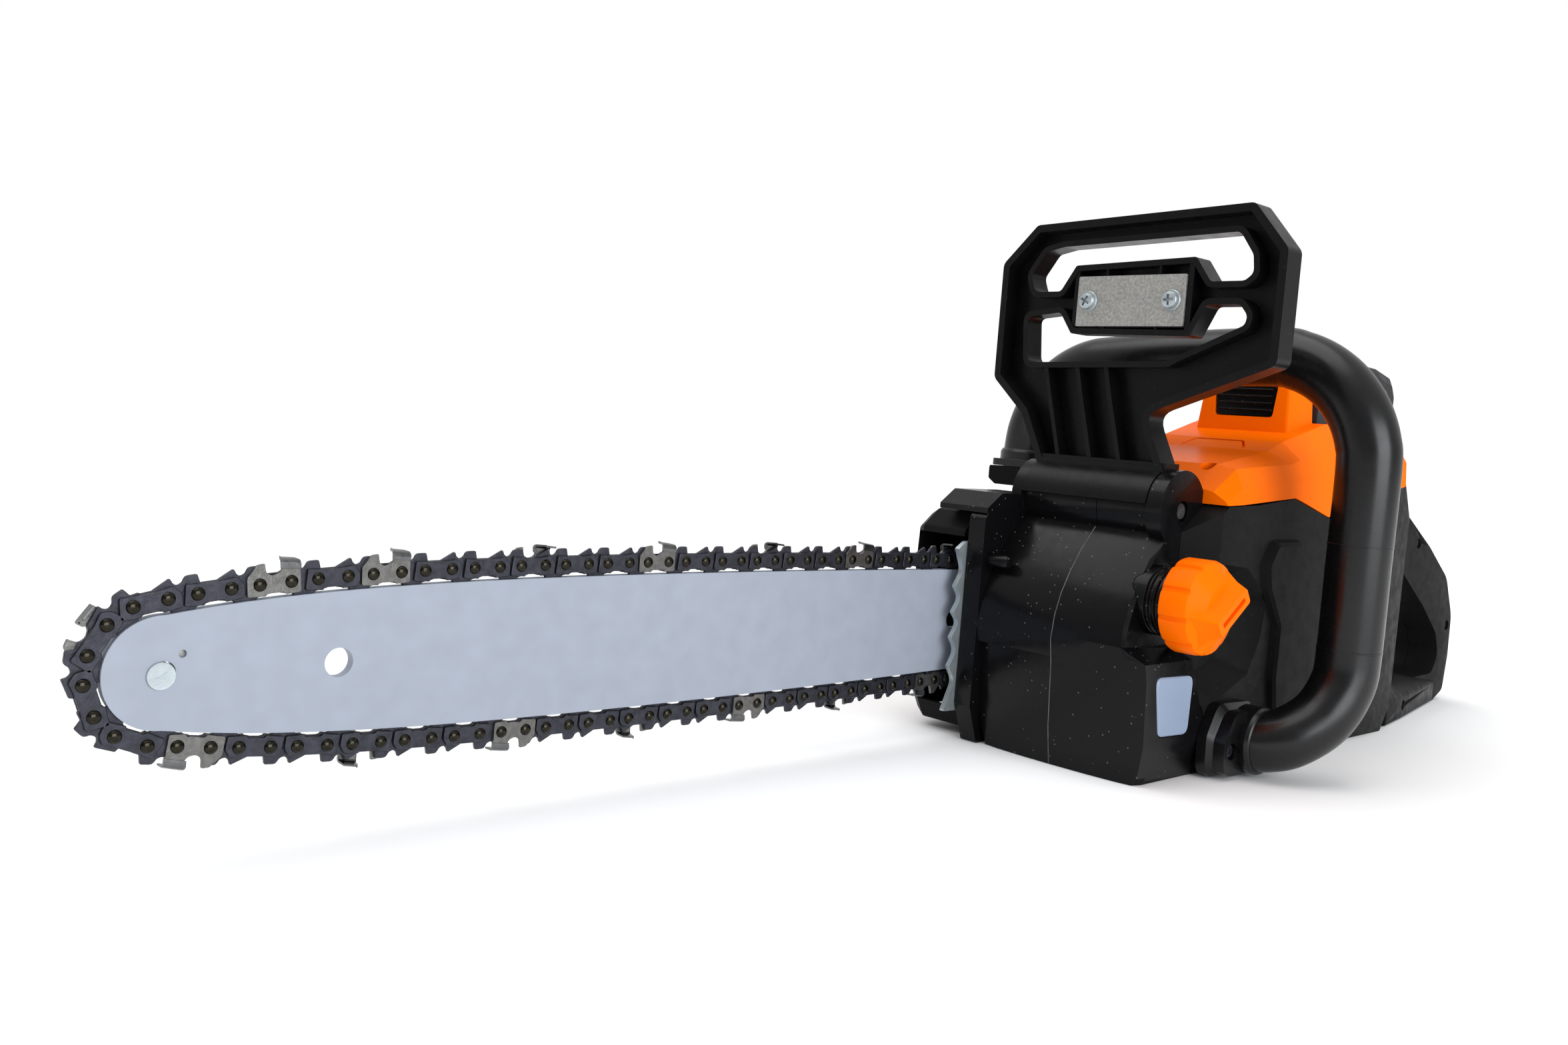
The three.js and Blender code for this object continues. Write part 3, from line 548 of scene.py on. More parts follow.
STRAP = rounded([(-4.3, -3.5), (1.6, -3.9, 0.4), (2.4, -3.1, 0.4), (7.6, -3.1, 0.4), (8.4, -3.9, 0.4),
                 (14.2, -3.5), (14.5, 0.8, 2.2), (12.4, 3.5, 1.4), (8.6, 3.0, 3), (2.0, 3.0, 3),
                 (-3.4, 3.4, 0.7)], 0.7, 2)
DRIVE_LINK = rounded([(-3.9, -3.4), (0.8, -4.2), (3.0, -8.6, 0.8), (6.6, -8.2, 0.8), (8.2, -4.2),
                      (12.6, -3.4), (12.9, 2.2), (10.3, 3.0), (9.7, 5.9, 0.4), (6.0, 5.9, 1.6),
                      (5.0, 4.0, 1.6), (3.2, 3.3, 1.4), (2.1, 4.4, 0.8), (1.5, 5.9, 0.3),
                      (-4.0, 3.0)], 0.6, 2)
CUTTER_SIDE = rounded([(-4.1, -3.6), (1.6, -3.9, 0.4), (2.4, -3.1, 0.4), (7.6, -3.1, 0.4), (8.4, -3.9, 0.4),
                       (13.2, -3.6), (13.3, 5.6, 0.6), (7.1, 6.2, 0.2), (7.7, 5.0, 1.2), (6.6, 3.1, 1.9),
                       (4.4, 2.4, 1.9), (2.2, 3.3, 1.9), (1.8, 6.6, 0.3), (-0.6, 6.3, 1.5),
                       (-4.0, 2.4, 1.6)], 0.8, 3)
RIVET_R = 2.15
RIVET_RISE = 1.25


def plate_part(place, outline, y0, y1):
    return loft_parts([[place(a, h, y) for a, h in outline] for y in (y0, y1)])


def top_plate_part(place, side):
    """The curled cutting plate: side -1 has its root on the left of the chain and 1 on the right."""
    sections = []
    for a, drop, reach in ((6.7, 0.0, 5.6), (8.6, 0.15, 5.6), (13.5, 0.75, 5.1)):
        lean = 2.1 if a < 7 else 0.0
        outer = [(-0.1, 4.4), (-0.35, 6.2), (0.1, 7.1), (1.0, 7.55), (reach, 7.7)]
        inner = [(reach, 7.0), (1.3, 6.75), (0.85, 6.1), (0.95, 4.4)]
        loop = []
        for across, h in outer + inner:
            y = BAR_Y + side * (PLATE_OUT - across)
            loop.append(place(a + lean * across / reach, h - drop, y))
        sections.append(loop)
    return loft_parts(sections)


def rivet_part(place, a, side, y):
    """A rivet's domed head at a distance a along its link, rising from y."""
    rings = []
    for share in (0.0, 0.35, 0.65, 0.88, 0.98):
        spread = RIVET_R * math.sqrt(1 - share ** 2)
        height = y + side * RIVET_RISE * share
        rings.append([place(a + c * spread, h * spread, height) for c, h in circle(0, 0, 1, 20)])
    return loft_parts(rings)


def make_chain():
    links, straps, cutters, chrome, rivets = [], [], [], [], []
    for k in range(PAIRS):
        s = PITCH * k + FIRST_RIVET
        plate = link_frame(s, PLATE_HOLES)
        bridge = link_frame(s + PLATE_HOLES, PITCH - PLATE_HOLES)
        links.append(plate_part(bridge, DRIVE_LINK, BAR_Y - LINK_HALF, BAR_Y + LINK_HALF))
        for side, sharp in ((-1, NEAR_CUTTERS), (1, FAR_CUTTERS)):
            inner, outer = BAR_Y + side * PLATE_IN, BAR_Y + side * PLATE_OUT
            if k in sharp:
                cutters.append(plate_part(plate, CUTTER_SIDE, inner, outer))
                chrome.append(top_plate_part(plate, side))
            else:
                straps.append(plate_part(plate, STRAP, inner, outer))
            for a in (0, PLATE_HOLES):
                rivets.append(rivet_part(plate, a, side, outer))
    for name, parts, look, width in (
        ("chain_drive_links", links, "chain_steel", 0.18),
        ("chain_tie_straps", straps, "chain_steel", 0.28),
        ("chain_cutter_sides", cutters, "cutter_steel", 0.25),
        ("chain_cutter_tops", chrome, "chrome", 0.12),
        ("chain_rivets", rivets, "rivet_steel", 0),
    ):
        stands_for = ("saw_chain",) if name == "chain_drive_links" else ()
        piece(merged(parts), name, look, "case", width, 1, 35, stands_for, "chain_steel")


# ---------------------------------------- bar
BAR_TAIL = -24


def bar_outline(inset):
    edge = [(NOSE.x + u, rise(u) - BAR_INSET - inset) for u in range(0, 420, 12)]
    edge += [(BAR_TAIL - 10, 20 - inset), (BAR_TAIL, 14 - inset)]
    nose = [(NOSE.x + x, z) for x, z in arc(0, 0, NOSE_R - BAR_INSET - inset, 264, 96, 30)]
    lower = [(x, -z) for x, z in reversed(edge)]
    return [(x, z + NOSE.y) for x, z in nose + edge + lower]


def make_bar():
    slot = arc(-36.2, DRIVE.y, 4.2, -90, 90, 10) + arc(-99.8, DRIVE.y, 4.2, 90, 270, 10)
    plates = []
    for low, high, inset in ((61.3, 62.6, 0), (62.5, 64.1, 6.5), (64.0, 65.3, 0)):
        plates.append(prism("y", bar_outline(inset), low, high))
    bar = join(*plates)
    cut(
        bar,
        prism("y", slot, 60, 67),
        rod("y", -411.4, 56.6, 4.9, 60, 67),
        rod("y", -461.6, 62.6, 1.25, 60, 67, 20),
        rod("y", -33, DRIVE.y - 13, 3.6, 60, 67),
        rod("y", NOSE.x, NOSE.y, 3.6, 60, 67),
    )
    piece(bar, "guide_bar_painted", "bar_paint", "case", 0.35, 2, 40, ("guide_bar",))
    centre = (NOSE.x - 0.8, NOSE.y - 0.8)
    profile = [(0.5, 60.5), (3.2, 60.62), (4.2, 60.55), (4.35, 60.9), (4.35, 61.2), (3.6, 61.3),
               (3.6, 65.3), (4.35, 65.4), (4.35, 65.7), (4.2, 66.05), (0.5, 66.1)]
    rivet = turned("y", *centre, profile, 36)
    scratch = [(-2.1, -0.75), (-0.2, -0.15), (1.6, 1.1), (1.4, 1.35), (-0.5, 0.25), (-2.2, -0.45)]
    mark = prism("y", rounded(scratch, 0.1, 1), 60, 60.75)
    turn(mark, Matrix.Translation(Vector((centre[0], 0, centre[1])) * MM))
    piece(cut(rivet, mark), "nose_rivet_head", "zinc", "case", 0.12, 2, 30, ("nose_rivet",))


# ---------------------------------------- front housing
FRONT_FACE = [(-97, 0), (-100, 18), (-102, 46), (-104, 58), (-102.5, 69), (-99, 79), (-94, 88), (-87, 98),
              (-77, 109)]
SPLIT_X = -52  # where the front housing meets the casing


def front_x(z):
    for (xa, za), (xb, zb) in zip(FRONT_FACE, FRONT_FACE[1:]):
        if za <= z <= zb:
            return xa + (xb - xa) * (z - za) / (zb - za)
    return FRONT_FACE[-1][0]


def drum(y_sections):
    """The rounded upper front, a loft across the saw through (y, how far its face is set back)."""
    heights = [50, 58, 63.5, 69, 74, 79, 83.5, 88, 93, 98, 103.5, 109]
    layers = []
    for y, back in y_sections:
        face = [(front_x(z) + back, z) for z in heights]
        layers.append((face + [(-70, 114), (SPLIT_X, 116), (SPLIT_X, 50)], y))
    return stack("y", layers)


def tank_front(y_outer, y_inner, sign):
    """The lower front box: sections from the base up, with its side drawn in towards the base."""
    levels = ((0, 4.0, -50), (6, 2.6, -50), (18, 0, -46), (46, 0, -60), (54, 0.6, -63))
    sections = []
    for z, draw, rear in levels:
        x = front_x(z)
        edge = y_outer - sign * draw
        rear_x = rear if sign < 0 else SPLIT_X
        flat = [(x + 2.6, edge), (x + 1.2, y_outer - sign * 13), (x + 0.3, y_outer - sign * 28),
                (x, y_inner), (SPLIT_X, y_inner), (SPLIT_X, y_outer - sign * 11),
                (rear_x, y_outer - sign * 8), (rear_x, edge)]
        lift = [z + (0.46 * min(13, abs(y - y_outer)) if z > 50 else 0) for _, y in flat]
        sections.append([(u, v, w) for (u, v), w in zip(flat, lift)])
    return loft(sections)


def phillips(axis, u, v, face, sign, r, name, look, body, stands_for=(), slot="steel", tall=2.4,
             tilt=0.3):
    """A domed cross-head screw whose head rises `tall` from `face` the way of `sign`."""
    dome = [(r * 0.96, face - sign * 0.2), (r, face), (r, face + sign * tall * 0.45),
            (r * 0.86, face + sign * tall * 0.8), (r * 0.55, face + sign * tall),
            (0.3, face + sign * tall * 1.03)]
    head = turned(axis, u, v, dome, 28)
    arms = []
    for angle in (tilt, tilt + math.pi / 2):
        c, s = math.cos(angle), math.sin(angle)
        long, thin = r * 0.6, r * 0.13
        flat = [(-long, -thin), (long, -thin), (long, thin), (-long, thin)]
        outline = [(u + a * c - b * s, v + a * s + b * c) for a, b in flat]
        arms.append(prism(axis, outline, *sorted((face + sign * tall * 0.35, face + sign * (tall + 2)))))
    cut(head, *arms)
    return piece(head, name, look, body, 0.12, 1, 35, stands_for, slot)


def make_front_housing():
    left = drum([(-35, 5.5), (-33.5, 4.2), (-26, 2.4), (-14, 0.8), (-SEAM, 0)])
    join(
        left,
        tank_front(-CASE_SIDE, -SEAM, -1),
        rod("y", *PIVOT, 16, -30, -SEAM, 56),
        rod("y", *PIVOT, 18.4, -35, -27.4, 56),
    )
    cut(
        left,
        rod("y", *PIVOT, 4.6, -36, -28.2, 28),
        rod("y", *CAP, 15.6, -60, -30, 40),
        prism("y", rounded([(-92.6, 48.7), (-61.3, 47.7), (-62.2, 20.4), (-86.9, 21.3)], 4.2), -60, -46.4),
        prism("z", rounded([(-99, -50), (-86, -50), (-88, -44.5), (-99, -41)], 1), -2, 3.2),
    )
    piece(left, "front_housing_left_shell", "gloss_black", "case", 0.7, 3, 24, ("front_housing_left",))

    right = drum([(SEAM, 0), (22, 0), (44, 0)])
    cheek = rounded([(-97, 0), (-104, 18, 3), (-104, 108, 3), (-96, 116.5, 3), (SPLIT_X, 118),
                     (SPLIT_X, 0)], 1)
    roof = [(-103, 110.5), (-103, 113), (-93, 120), (-60, 120), (-60, 110.5)]
    join(
        right,
        tank_front(43, SEAM, 1),
        prism("y", cheek, 42.6, 52),
        prism("y", roof, 42.6, 72),
        rod("y", *PIVOT, 16, SEAM, 42, 56),
        rod("y", *PIVOT, 18.4, 41.4, 47, 56),
        prism("y", rounded([(-73.4, 45), (-50, 45), (-50, 69), (-73.4, 69)], 2), 51, 60.9),
    )
    piece(right, "front_housing_right_shell", "gloss_black", "case", 0.7, 3, 24, ("front_housing_right",))
    proud, deep = 0.1, 0.9
    seam = [(x - proud, z) for x, z in FRONT_FACE] + [(x + deep, z) for x, z in reversed(FRONT_FACE)]
    # painted highlight: the strip along the parting line is light grey to show light on the seam ridge, on
    # gloss black plastic
    piece(prism("y", seam, -SEAM, SEAM), "front_parting_seam", "seam_highlight_grey", "case", 0, slot="gloss_black")
    peg = turned("y", -99, 88.6, [(2.6, 43), (3.1, 42), (3.1, 31.5), (2.5, 30.4), (1, 30.1)], 24)
    piece(peg, "chain_side_peg", "gloss_black", "case", 0)
    phillips("y", *PIVOT, -28.6, -1, 3.6, "hinge_screw", "chain_steel", "case", tall=1.4)


# ---------------------------------------- casing
COVER_JOINT = [(-44, 123), (-18, 124), (16, 127.5), (53, 118.5), (140, 136), (163, 138)]


def make_case():
    front = [(-49, 0), (-48.8, 6), (-44.8, 18), (-58.8, 46), (-61.8, 54), (-61.8, 110), (-50, 119)]
    outline = [(150, 0), (164, 12), (164, 138)] + COVER_JOINT[::-1] + front[::-1]
    left = prism("y", outline, -CASE_SIDE, -SEAM)
    rear_cut = [([(120, -48.6), (170, -40.8), (170, -80), (120, -80)], -5),
                ([(124, -48.6), (170, -41), (170, -80), (124, -80)], 118),
                ([(131, -48.6), (170, -36), (170, -80), (131, -80)], 142)]
    rim = [(-64, 99), (-22, 95), (-1, 80), (-4, 61), (-13, 44), (-42, 33), (-64, 30)]
    scoop_rim, scoop_edge = rounded(rim, 7), rounded(offset(rim, 0.5), 7)
    scoop_floor = rounded([(-66, 93), (-36, 87), (-17, 78), (-19, 62), (-26, 51), (-50, 43), (-66, 40)], 5)
    corner = [(-66, -50), (-47, -50), (-63, -34), (-66, -34)]
    cut(
        left,
        stack("z", rear_cut),
        prism("x", [(-60, -5), (-43.2, -5), (-48.4, 18), (-60, 18)], -60, 170),
        stack("y", [(scoop_floor, -36.5), (scoop_rim, -48.4), (scoop_edge, -52)]),
        stack("z", [(corner, 56), (corner, 122)]),
    )
    panel = [(-7, 84), (-10, 96), (-2, 108), (24, 108), (48, 80), (44, 24), (34, 14), (12, 14), (6, 40),
             (6, 66)]
    low, middle, high = [rounded(offset(panel, inset), 5, 5) for inset in (0, -1.2, -3.2)]
    join(left, stack("y", [(low, -46), (low, -47.9), (middle, -50.2), (high, -51.2)]))
    hatch = [(104, 92), (134, 92), (139, 80), (146, 54), (112, 50), (100, 66)]
    groove = cut(prism("y", rounded(offset(hatch, 0.6), 3), -49, -46.6),
                 prism("y", rounded(offset(hatch, -0.5), 2.4), -52, -46))
    cut(left, groove)
    piece(left, "case_left_shell", "black_plastic", "case", 0.8, 3, 16, ("case_left",))

    outline = [(150, 0), (164, 12), (164, 138)] + COVER_JOINT[::-1] + [(-50, 119), (-51.7, 110), (-51.7, 0)]
    right = prism("y", outline, SEAM, CASE_SIDE)
    mirrored = [([(x, -y) for x, y in loop], z) for loop, z in rear_cut]
    vents = [prism("y", rounded([(x, 40), (x + 4, 40), (x + 12, 100), (x + 8, 100)], 1.6), 45, 50)
             for x in range(86, 128, 9)]
    cut(
        right,
        stack("z", mirrored),
        prism("x", [(60, -5), (43.2, -5), (48.4, 18), (60, 18)], -60, 170),
        *vents,
    )
    shoulder = [(40, 100), (48, 100), (48, 121), (108, 121), (112.5, 124), (112.5, 131), (60, 131),
                (46, 126), (40, 121)]
    join(
        right,
        prism("x", rounded(shoulder, 1.2), -17, 17),
        prism("y", rounded([(-51.5, 45), (-34, 45), (-34, 69), (-51.5, 69)], 2), 46, 60.9),
    )
    piece(right, "case_right_shell", "black_plastic", "case", 0.8, 3, 16, ("case_right",))


# ---------------------------------------- orange cover
COVER_SCREWS = ((-33, -29), (-33, 29))


def cover_section(x, joint, low, shoulder, crown):
    """One (y, z) cross-section of the cover at x: joint, side, shoulder and deck heights."""
    half = [(CASE_SIDE if x < 150 else 38, joint), low, shoulder, crown]
    left = [(x, -y, z) for y, z in half]
    right = [(x, y, z) for y, z in reversed(half)]
    return left + right


def make_cover():
    sections = [
        cover_section(-46, 123.4, (47, 125), (40, 129), (30, 131)),
        cover_section(-33, 123.9, (47, 131), (43, 140), (33, 141.5)),
        cover_section(17, 127.9, (47, 135), (44, 144), (31, 149.5)),
        cover_section(27, 125.6, (47, 136), (43.5, 146), (33, 154.5)),
        cover_section(53, 119.0, (47, 140), (42.5, 149), (34, 161.5)),
        cover_section(68, 122.0, (47, 142), (42, 151), (34, 165.5)),
        cover_section(140, 136.3, (47, 149), (42, 157), (34, 167.5)),
        cover_section(163.5, 138.4, (37, 145), (34, 151), (31, 158)),
    ]
    cover = loft(sections)
    tower = stack("z", [(rounded([(44, -27), (71, -28), (71, 28), (44, 27)], 3), 148),
                        (rounded([(47.5, -24), (71, -25), (71, 25), (47.5, 24)], 3), 186),
                        (rounded([(52, -22), (71, -23), (71, 23), (52, 22)], 3), 190)])
    join(cover, tower)
    panel = [(-26, -20), (10, -22), (26, -13), (26, 13), (10, 22), (-26, 20)]
    slant = Matrix.Translation(Vector((0, 0, 148.4)) * MM) @ Matrix.Rotation(math.radians(-9.2), 4, "Y")
    groove = turn(cut(prism("z", rounded(offset(panel, 0.7), 3), -1.2, 6),
                      prism("z", rounded(offset(panel, -0.5), 2.4), -3, 8)), slant)
    hollow = [(-36, 100), (-36, 127), (18, 135), (60, 144), (140, 146), (156, 138), (156, 100)]
    cut(
        cover,
        block(71, 200, -31, 31, 100, 230),
        prism("x", rounded([(-16.4, 166.8), (16.4, 166.8), (17.6, 184.2), (-17.6, 184.2)], 2), 40, 62.6),
        groove,
        *[rod("z", x, y, 3.6, 136.4, 150, 28) for x, y in COVER_SCREWS],
        prism("x", [(49.5, 90), (46.5, 121), (46.5, 133), (70, 140), (70, 90)], -18, 18),
        prism("y", hollow, -40, 40),
    )
    piece(cover, "top_cover_shell", "orange_plastic", "case", 1.1, 3, 9, ("top_cover",))
    for (x, y), name in zip(COVER_SCREWS, ("left", "right")):
        phillips("z", x, y, 136.3, 1, 2.7, f"cover_screw_{name}", "steel", "case", tall=1.2)

    face = rounded([(-15.8, 167.4), (15.8, 167.4), (16.9, 183.6), (-16.9, 183.6)], 1.6)
    release = prism("x", face, 47.6, 58)
    for i in range(4):
        z = 170.4 + i * 3.5
        join(release, prism("y", rounded([(46.2, z), (49, z - 0.9), (49, z + 0.9)], 0.3), -14.6, 14.6))
    piece(release, "battery_release_button", "gloss_black", "release", 0.35, 2, 30, ("battery_release",))


# ---------------------------------------- battery
def make_battery():
    side = [(72, 140), (152, 140), (160, 148), (161, 186), (155, 196), (135, 200), (84, 197), (72, 188)]
    full, inner, flank = [rounded(offset(side, inset), 4) for inset in (0, -1.2, -6)]
    pack = stack("y", [(flank, -30), (inner, -27), (full, -22), (full, 22), (inner, 27), (flank, 30)])
    grooves = [block(86 + 6 * i, 88.4 + 6 * i, -18, 18, 195.4, 210) for i in range(8)]
    cut(pack, *grooves, *[block(159.5, 170, -22, 22, z, z + 1.6) for z in (156, 164, 172)])
    piece(pack, "battery_shell", "grey_plastic", "battery_pack", 0.9, 3, 22, ("battery",))
    chevron = rounded([(80, 178), (90, 190), (132, 192), (146, 186), (140, 180), (92, 176)], 2.5)
    for name, low, high in (("left", -30.7, -28.5), ("right", 28.5, 30.7)):
        accent = prism("y", chevron, low, high)
        piece(accent, f"battery_accent_{name}", "orange_plastic", "battery_pack", 0.5, 2, 30)


# ---------------------------------------- sprocket cover and knob
def make_sprocket_cover():
    outline = [(-103, 80), (-102, 101), (-92, 109), (-78, 113), (40, 118), (62, 108), (78, 86),
               (78, 24), (66, 6), (-91, 4), (-98, 17)]
    soft, shoulder, face = [rounded(offset(outline, inset), 3) for inset in (0, -3, -9)]
    inner = rounded([(-120, 80), (-120, 98), (-98, 98), (-89, 105), (-76, 109.5), (38, 114), (60, 104),
                     (74, 84), (74, 26), (64, 10), (-88, 8), (-93, 14), (-120, 14)], 2)
    shell = stack("y", [(soft, 52.4), (soft, 82), (shoulder, 87), (face, 92)])
    ribs = [prism("y", rounded([(x, 26), (x + 5, 26), (x + 12, 92), (x + 7, 92)], 1.8), 91, 93.6)
            for x in range(-20, 46, 13)]
    join(shell, *ribs)
    cut(
        shell,
        prism("y", inner, 40, 88),
        rod("y", *KNOB, 19, 80, 100, 48),
        block(-115, -60, 40, 56, 0, 130),
    )
    piece(shell, "sprocket_cover_shell", "black_plastic", "case", 0.8, 2, 24, ("sprocket_cover",))
    plate = cut(prism("y", rounded([(-103, 38), (-28, 38), (-28, 76), (-103, 76)], 4), 80.4, 82),
                rod("y", *KNOB, 4.2, 78, 84, 24), rod("y", -44, 57, 4.2, 78, 84, 24))
    piece(plate, "bar_clamp_plate", "dark_plastic", "case", 0.3, 1, 30)
    notched = []
    for i in range(30):
        notched += arc(*KNOB, 25 if i % 2 else 23.9, 12 * i + 1, 12 * i + 11, 3)
    ring = stack("y", [(notched, 92.6), (notched, 96), (offset(notched, -1.2), 97)])
    join(ring, rod("y", *KNOB, 18.6, 84, 93, 48))
    cut(ring, rod("y", *KNOB, 15, 80, 100, 40))
    piece(ring, "tension_ring_wheel", "grey_plastic", "tension_wheel", 0.4, 2, 30, ("tension_ring",))
    lobes = []
    for i in range(8):
        lobes += arc(*KNOB, 14.2 if i % 2 else 12.8, 45 * i + 3, 45 * i + 42, 5)
    knob = stack("y", [(lobes, 84), (lobes, 101.5), (offset(lobes, -1.4), 103)])
    root = rounded([(-83, 52.5), (-57, 52.5), (-57, 61.5), (-83, 61.5)], 3)
    crest = rounded([(-81.5, 53.8), (-58.5, 53.8), (-58.5, 60.2), (-81.5, 60.2)], 2.5)
    join(knob, stack("y", [(root, 101), (crest, 109)]))
    piece(knob, "clamp_knob_grip", "orange_plastic", "knob", 0.6, 2, 30, ("clamp_knob",))


def make_bumper():
    tips = (92.5, 74.5, 62, 50, 36)
    valleys = (82, 69, 57, 43.5, 29)
    edge = []
    for tip, valley in zip(tips, valleys):
        edge += [(-109.8, tip, 1.0), (-105, valley, 5.5)]
    outline = rounded([(-74, 14), (-74, 96, 2), (-104.5, 96, 2.5)] + edge + [(-111.5, 14.5, 0.8)], 1, 4)
    bolt_heights = (84, 26)
    holes = [rod("y", -84, z, 2.6, 50, 58) for z in bolt_heights]
    plate = cut(prism("y", outline, 52.4, 54.9), *holes)
    piece(plate, "bumper_spikes", "zinc", "case", 0.35, 2, 30, ("spiked_bumper",))
    for i, z in enumerate(bolt_heights):
        hexagon = circle(-84, z, 4.7, 6)
        bolt = stack("y", [(hexagon, 54.9), (hexagon, 57.6), (circle(-84, z, 4.0, 6), 58.2)])
        piece(bolt, f"bumper_bolt_{i + 1}", "steel", "case", 0.25, 2, 30, (f"bumper_screw_{i + 1}",))


# ---------------------------------------- handles
BOW_R = 14  # the front handle's tube
BOW_Y = -89  # its upright part, beside the casing
FOOT_SCREW = (-44, 13.5)
HANDLE_SCREWS = ((240, 101), (296, 48))


def make_front_handle():
    points = [(-25, -61.4, 17), (-24.4, -66, 17.4), (-20, -75, 21), (-10, -84, 31), (-2, -88.4, 46),
              (0, BOW_Y, 62), (0, BOW_Y, 100)]
    points += [(0, y, z) for y, z in arc(-39, 144, 50, 180, 90, 6)]
    points += [(0, 10, 192)]
    points += [(0, y, z) for y, z in arc(49, 139, 50, 90, 0, 6)]
    points += [(0, 99, 136)]
    bow = sweep(points, BOW_R, 48, 8)
    piece(bow, "front_handle_bow", "handle_black", "case", 0, 1, 40, ("front_handle_tube",))
    lines = []
    for z in (110, 62.5):
        profile = [(13.9, z - 0.5), (14.16, z - 0.3), (14.16, z + 0.3), (13.9, z + 0.5)]
        lines.append(turned("z", 0, BOW_Y, profile, 48))
    piece(join(*lines), "bow_mould_lines", "handle_black", "case", 0, 1, 50)
    low = rounded([(-53, 0.6), (-11, 0.6), (-10, 20), (-16, 33), (-46, 34), (-54, 20)], 8)
    high = rounded([(-50, 2), (-14, 2), (-12, 18), (-17, 31), (-43, 31), (-51, 18)], 8)
    foot = stack("y", [(low, -48.2), (low, -53), (high, -55), (high, -60.5)])
    collar = turned("y", -25, 17, [(15.6, -55), (15.6, -64), (14.9, -65.5), (14.1, -66)], 48)
    join(foot, collar)
    cut(foot, rod("y", *FOOT_SCREW, 4.0, -62, -58.4, 28))
    piece(foot, "bow_foot_left", "handle_black", "case", 0.9, 3, 24, ("handle_foot_left",))
    phillips("y", *FOOT_SCREW, -58.6, -1, 3.0, "bow_screw_left", "chain_steel", "case", tall=1.0)
    plate = rounded([(-17, 82), (17, 82), (17, 112), (-17, 112)], 4)
    right = stack("z", [(plate, 131.3), (plate, 135)])
    join(right, turned("z", 0, 99, [(15.6, 131.5), (15.6, 139), (14.8, 140.5), (14.1, 141)], 48))
    keep(right, block(-30, 30, 60, 112.4, 120, 160))
    piece(right, "bow_foot_right", "handle_black", "case", 0.6, 2, 24, ("handle_foot_right",))


def make_rear_handle():
    outer = rounded([(164.3, 138), (192, 124, 12), (222, 117, 14), (257, 98.7, 20), (288, 79, 18),
                     (302, 54, 20), (303, 28, 16), (300, 6, 5), (286, 0, 6), (164.3, 0)], 1, 5)
    opening = rounded([(182, 96, 5), (202, 95), (256, 62, 10), (280, 44, 8), (287, 30, 10), (280, 18, 8),
                       (190, 16, 8), (178, 30, 10)], 6, 5)
    body = prism("y", outer, -18, 18)
    cut(body, prism("y", opening, -30, 30))
    bevel(body, 5.5, 5, 32)
    body.modifiers["edges"].harden_normals = False
    bake(body)
    heel = [(163.8, -41), (200, -35), (284, -19), (284, 19), (200, 35), (163.8, 41)]
    root = [(heel, 0), (heel, 13),
            ([(163.8, -38), (176, -30), (196, -17), (196, 17), (176, 30), (163.8, 38)], 26),
            ([(163.8, -30), (168, -24), (172, -16), (172, 16), (168, 24), (163.8, 30)], 100),
            ([(163.8, -24), (172, -20), (180, -16), (180, 16), (172, 20), (163.8, 24)], 134)]
    foot = bake(bevel(stack("z", root), 1.5, 3, 20))
    join(body, foot)
    hollow = rounded([(176, 113), (192, 115), (220, 109), (250, 92), (268, 76), (260, 68),
                      (205, 98.5), (176, 98.5)], 3)
    cut(
        body,
        prism("y", hollow, -12.9, 12.9),
        prism("y", [(195, 107), (240, 84), (240, 60), (190, 80)], -7.9, 7.9),
        prism("y", [(228.2, 99.9), (252.2, 85.9), (264, 107), (240, 121)], -6.9, 6.9),
        *[rod("y", x, z, 3.2, -20, -15.6, 24) for x, z in HANDLE_SCREWS],
        rod("y", 200, 8, 3.2, -40, -15.6, 24),
    )
    other = bpy.data.objects.new("draft", body.data.copy())
    bpy.context.scene.collection.objects.link(other)
    keep(body, block(100, 400, -100, -SEAM * 0.7, -10, 200))
    keep(other, block(100, 400, SEAM * 0.7, 100, -10, 200))
    piece(body, "rear_handle_left_shell", "black_plastic", "case", 0, 1, 32, ("rear_handle_left",))
    piece(other, "rear_handle_right_shell", "black_plastic", "case", 0, 1, 32, ("rear_handle_right",))
    for i, (x, z) in enumerate(HANDLE_SCREWS):
        phillips("y", x, z, -15.8, -1, 2.6, f"handle_screw_{i + 1}", "steel", "case", tall=0.8)
    outline = rounded([(200, 105), (208, 106), (234, 89), (232, 72, 3), (224, 71, 3), (214, 80, 8),
                       (203, 85, 3), (198, 95)], 2)
    trigger = cut(prism("y", outline, -7, 7), rod("y", 204, 101.5, 2.6, -20, 20, 24))
    piece(trigger, "trigger_blade", "grey_plastic", "trigger_lever", 1.4, 3, 30, ("trigger",))
    outline = rounded([(236, 101.5), (254, 91.5), (260, 101.9, 3), (242, 112.1, 3)], 0.5)
    button = prism("y", outline, -6, 6)
    piece(button, "lock_off_cap", "orange_plastic", "lock_off", 0.9, 3, 30, ("lock_off_button",))


# ---------------------------------------- front guard
GUARD_OUTER = [(41, 135), (53, 159, 9), (72, 176, 5), (72, 232, 5), (53, 250, 4), (-60, 254, 4),
               (-77, 234, 5), (-77, 185, 5), (-16, 162, 7), (-29, 135)]
SLOT_UPPER = [(55, 226, 4), (47, 237, 4), (37, 239, 4), (-54, 242, 4), (-61, 232, 5), (-62, 224, 4),
              (-58, 221, 4), (-42, 221, 3), (-34, 232, 2), (29, 230, 2), (37, 218, 3), (52, 218, 4)]
SLOT_LOWER = [(55, 206, 3), (36, 208, 3), (29, 198, 2), (-34, 197, 2), (-41, 211, 3), (-57, 211, 4),
              (-61, 206, 4), (-60, 202, 3), (-28, 188, 4), (-24, 186, 4), (53, 184, 4)]
PLATE_SCREWS = ((20, 213), (-24, 213))


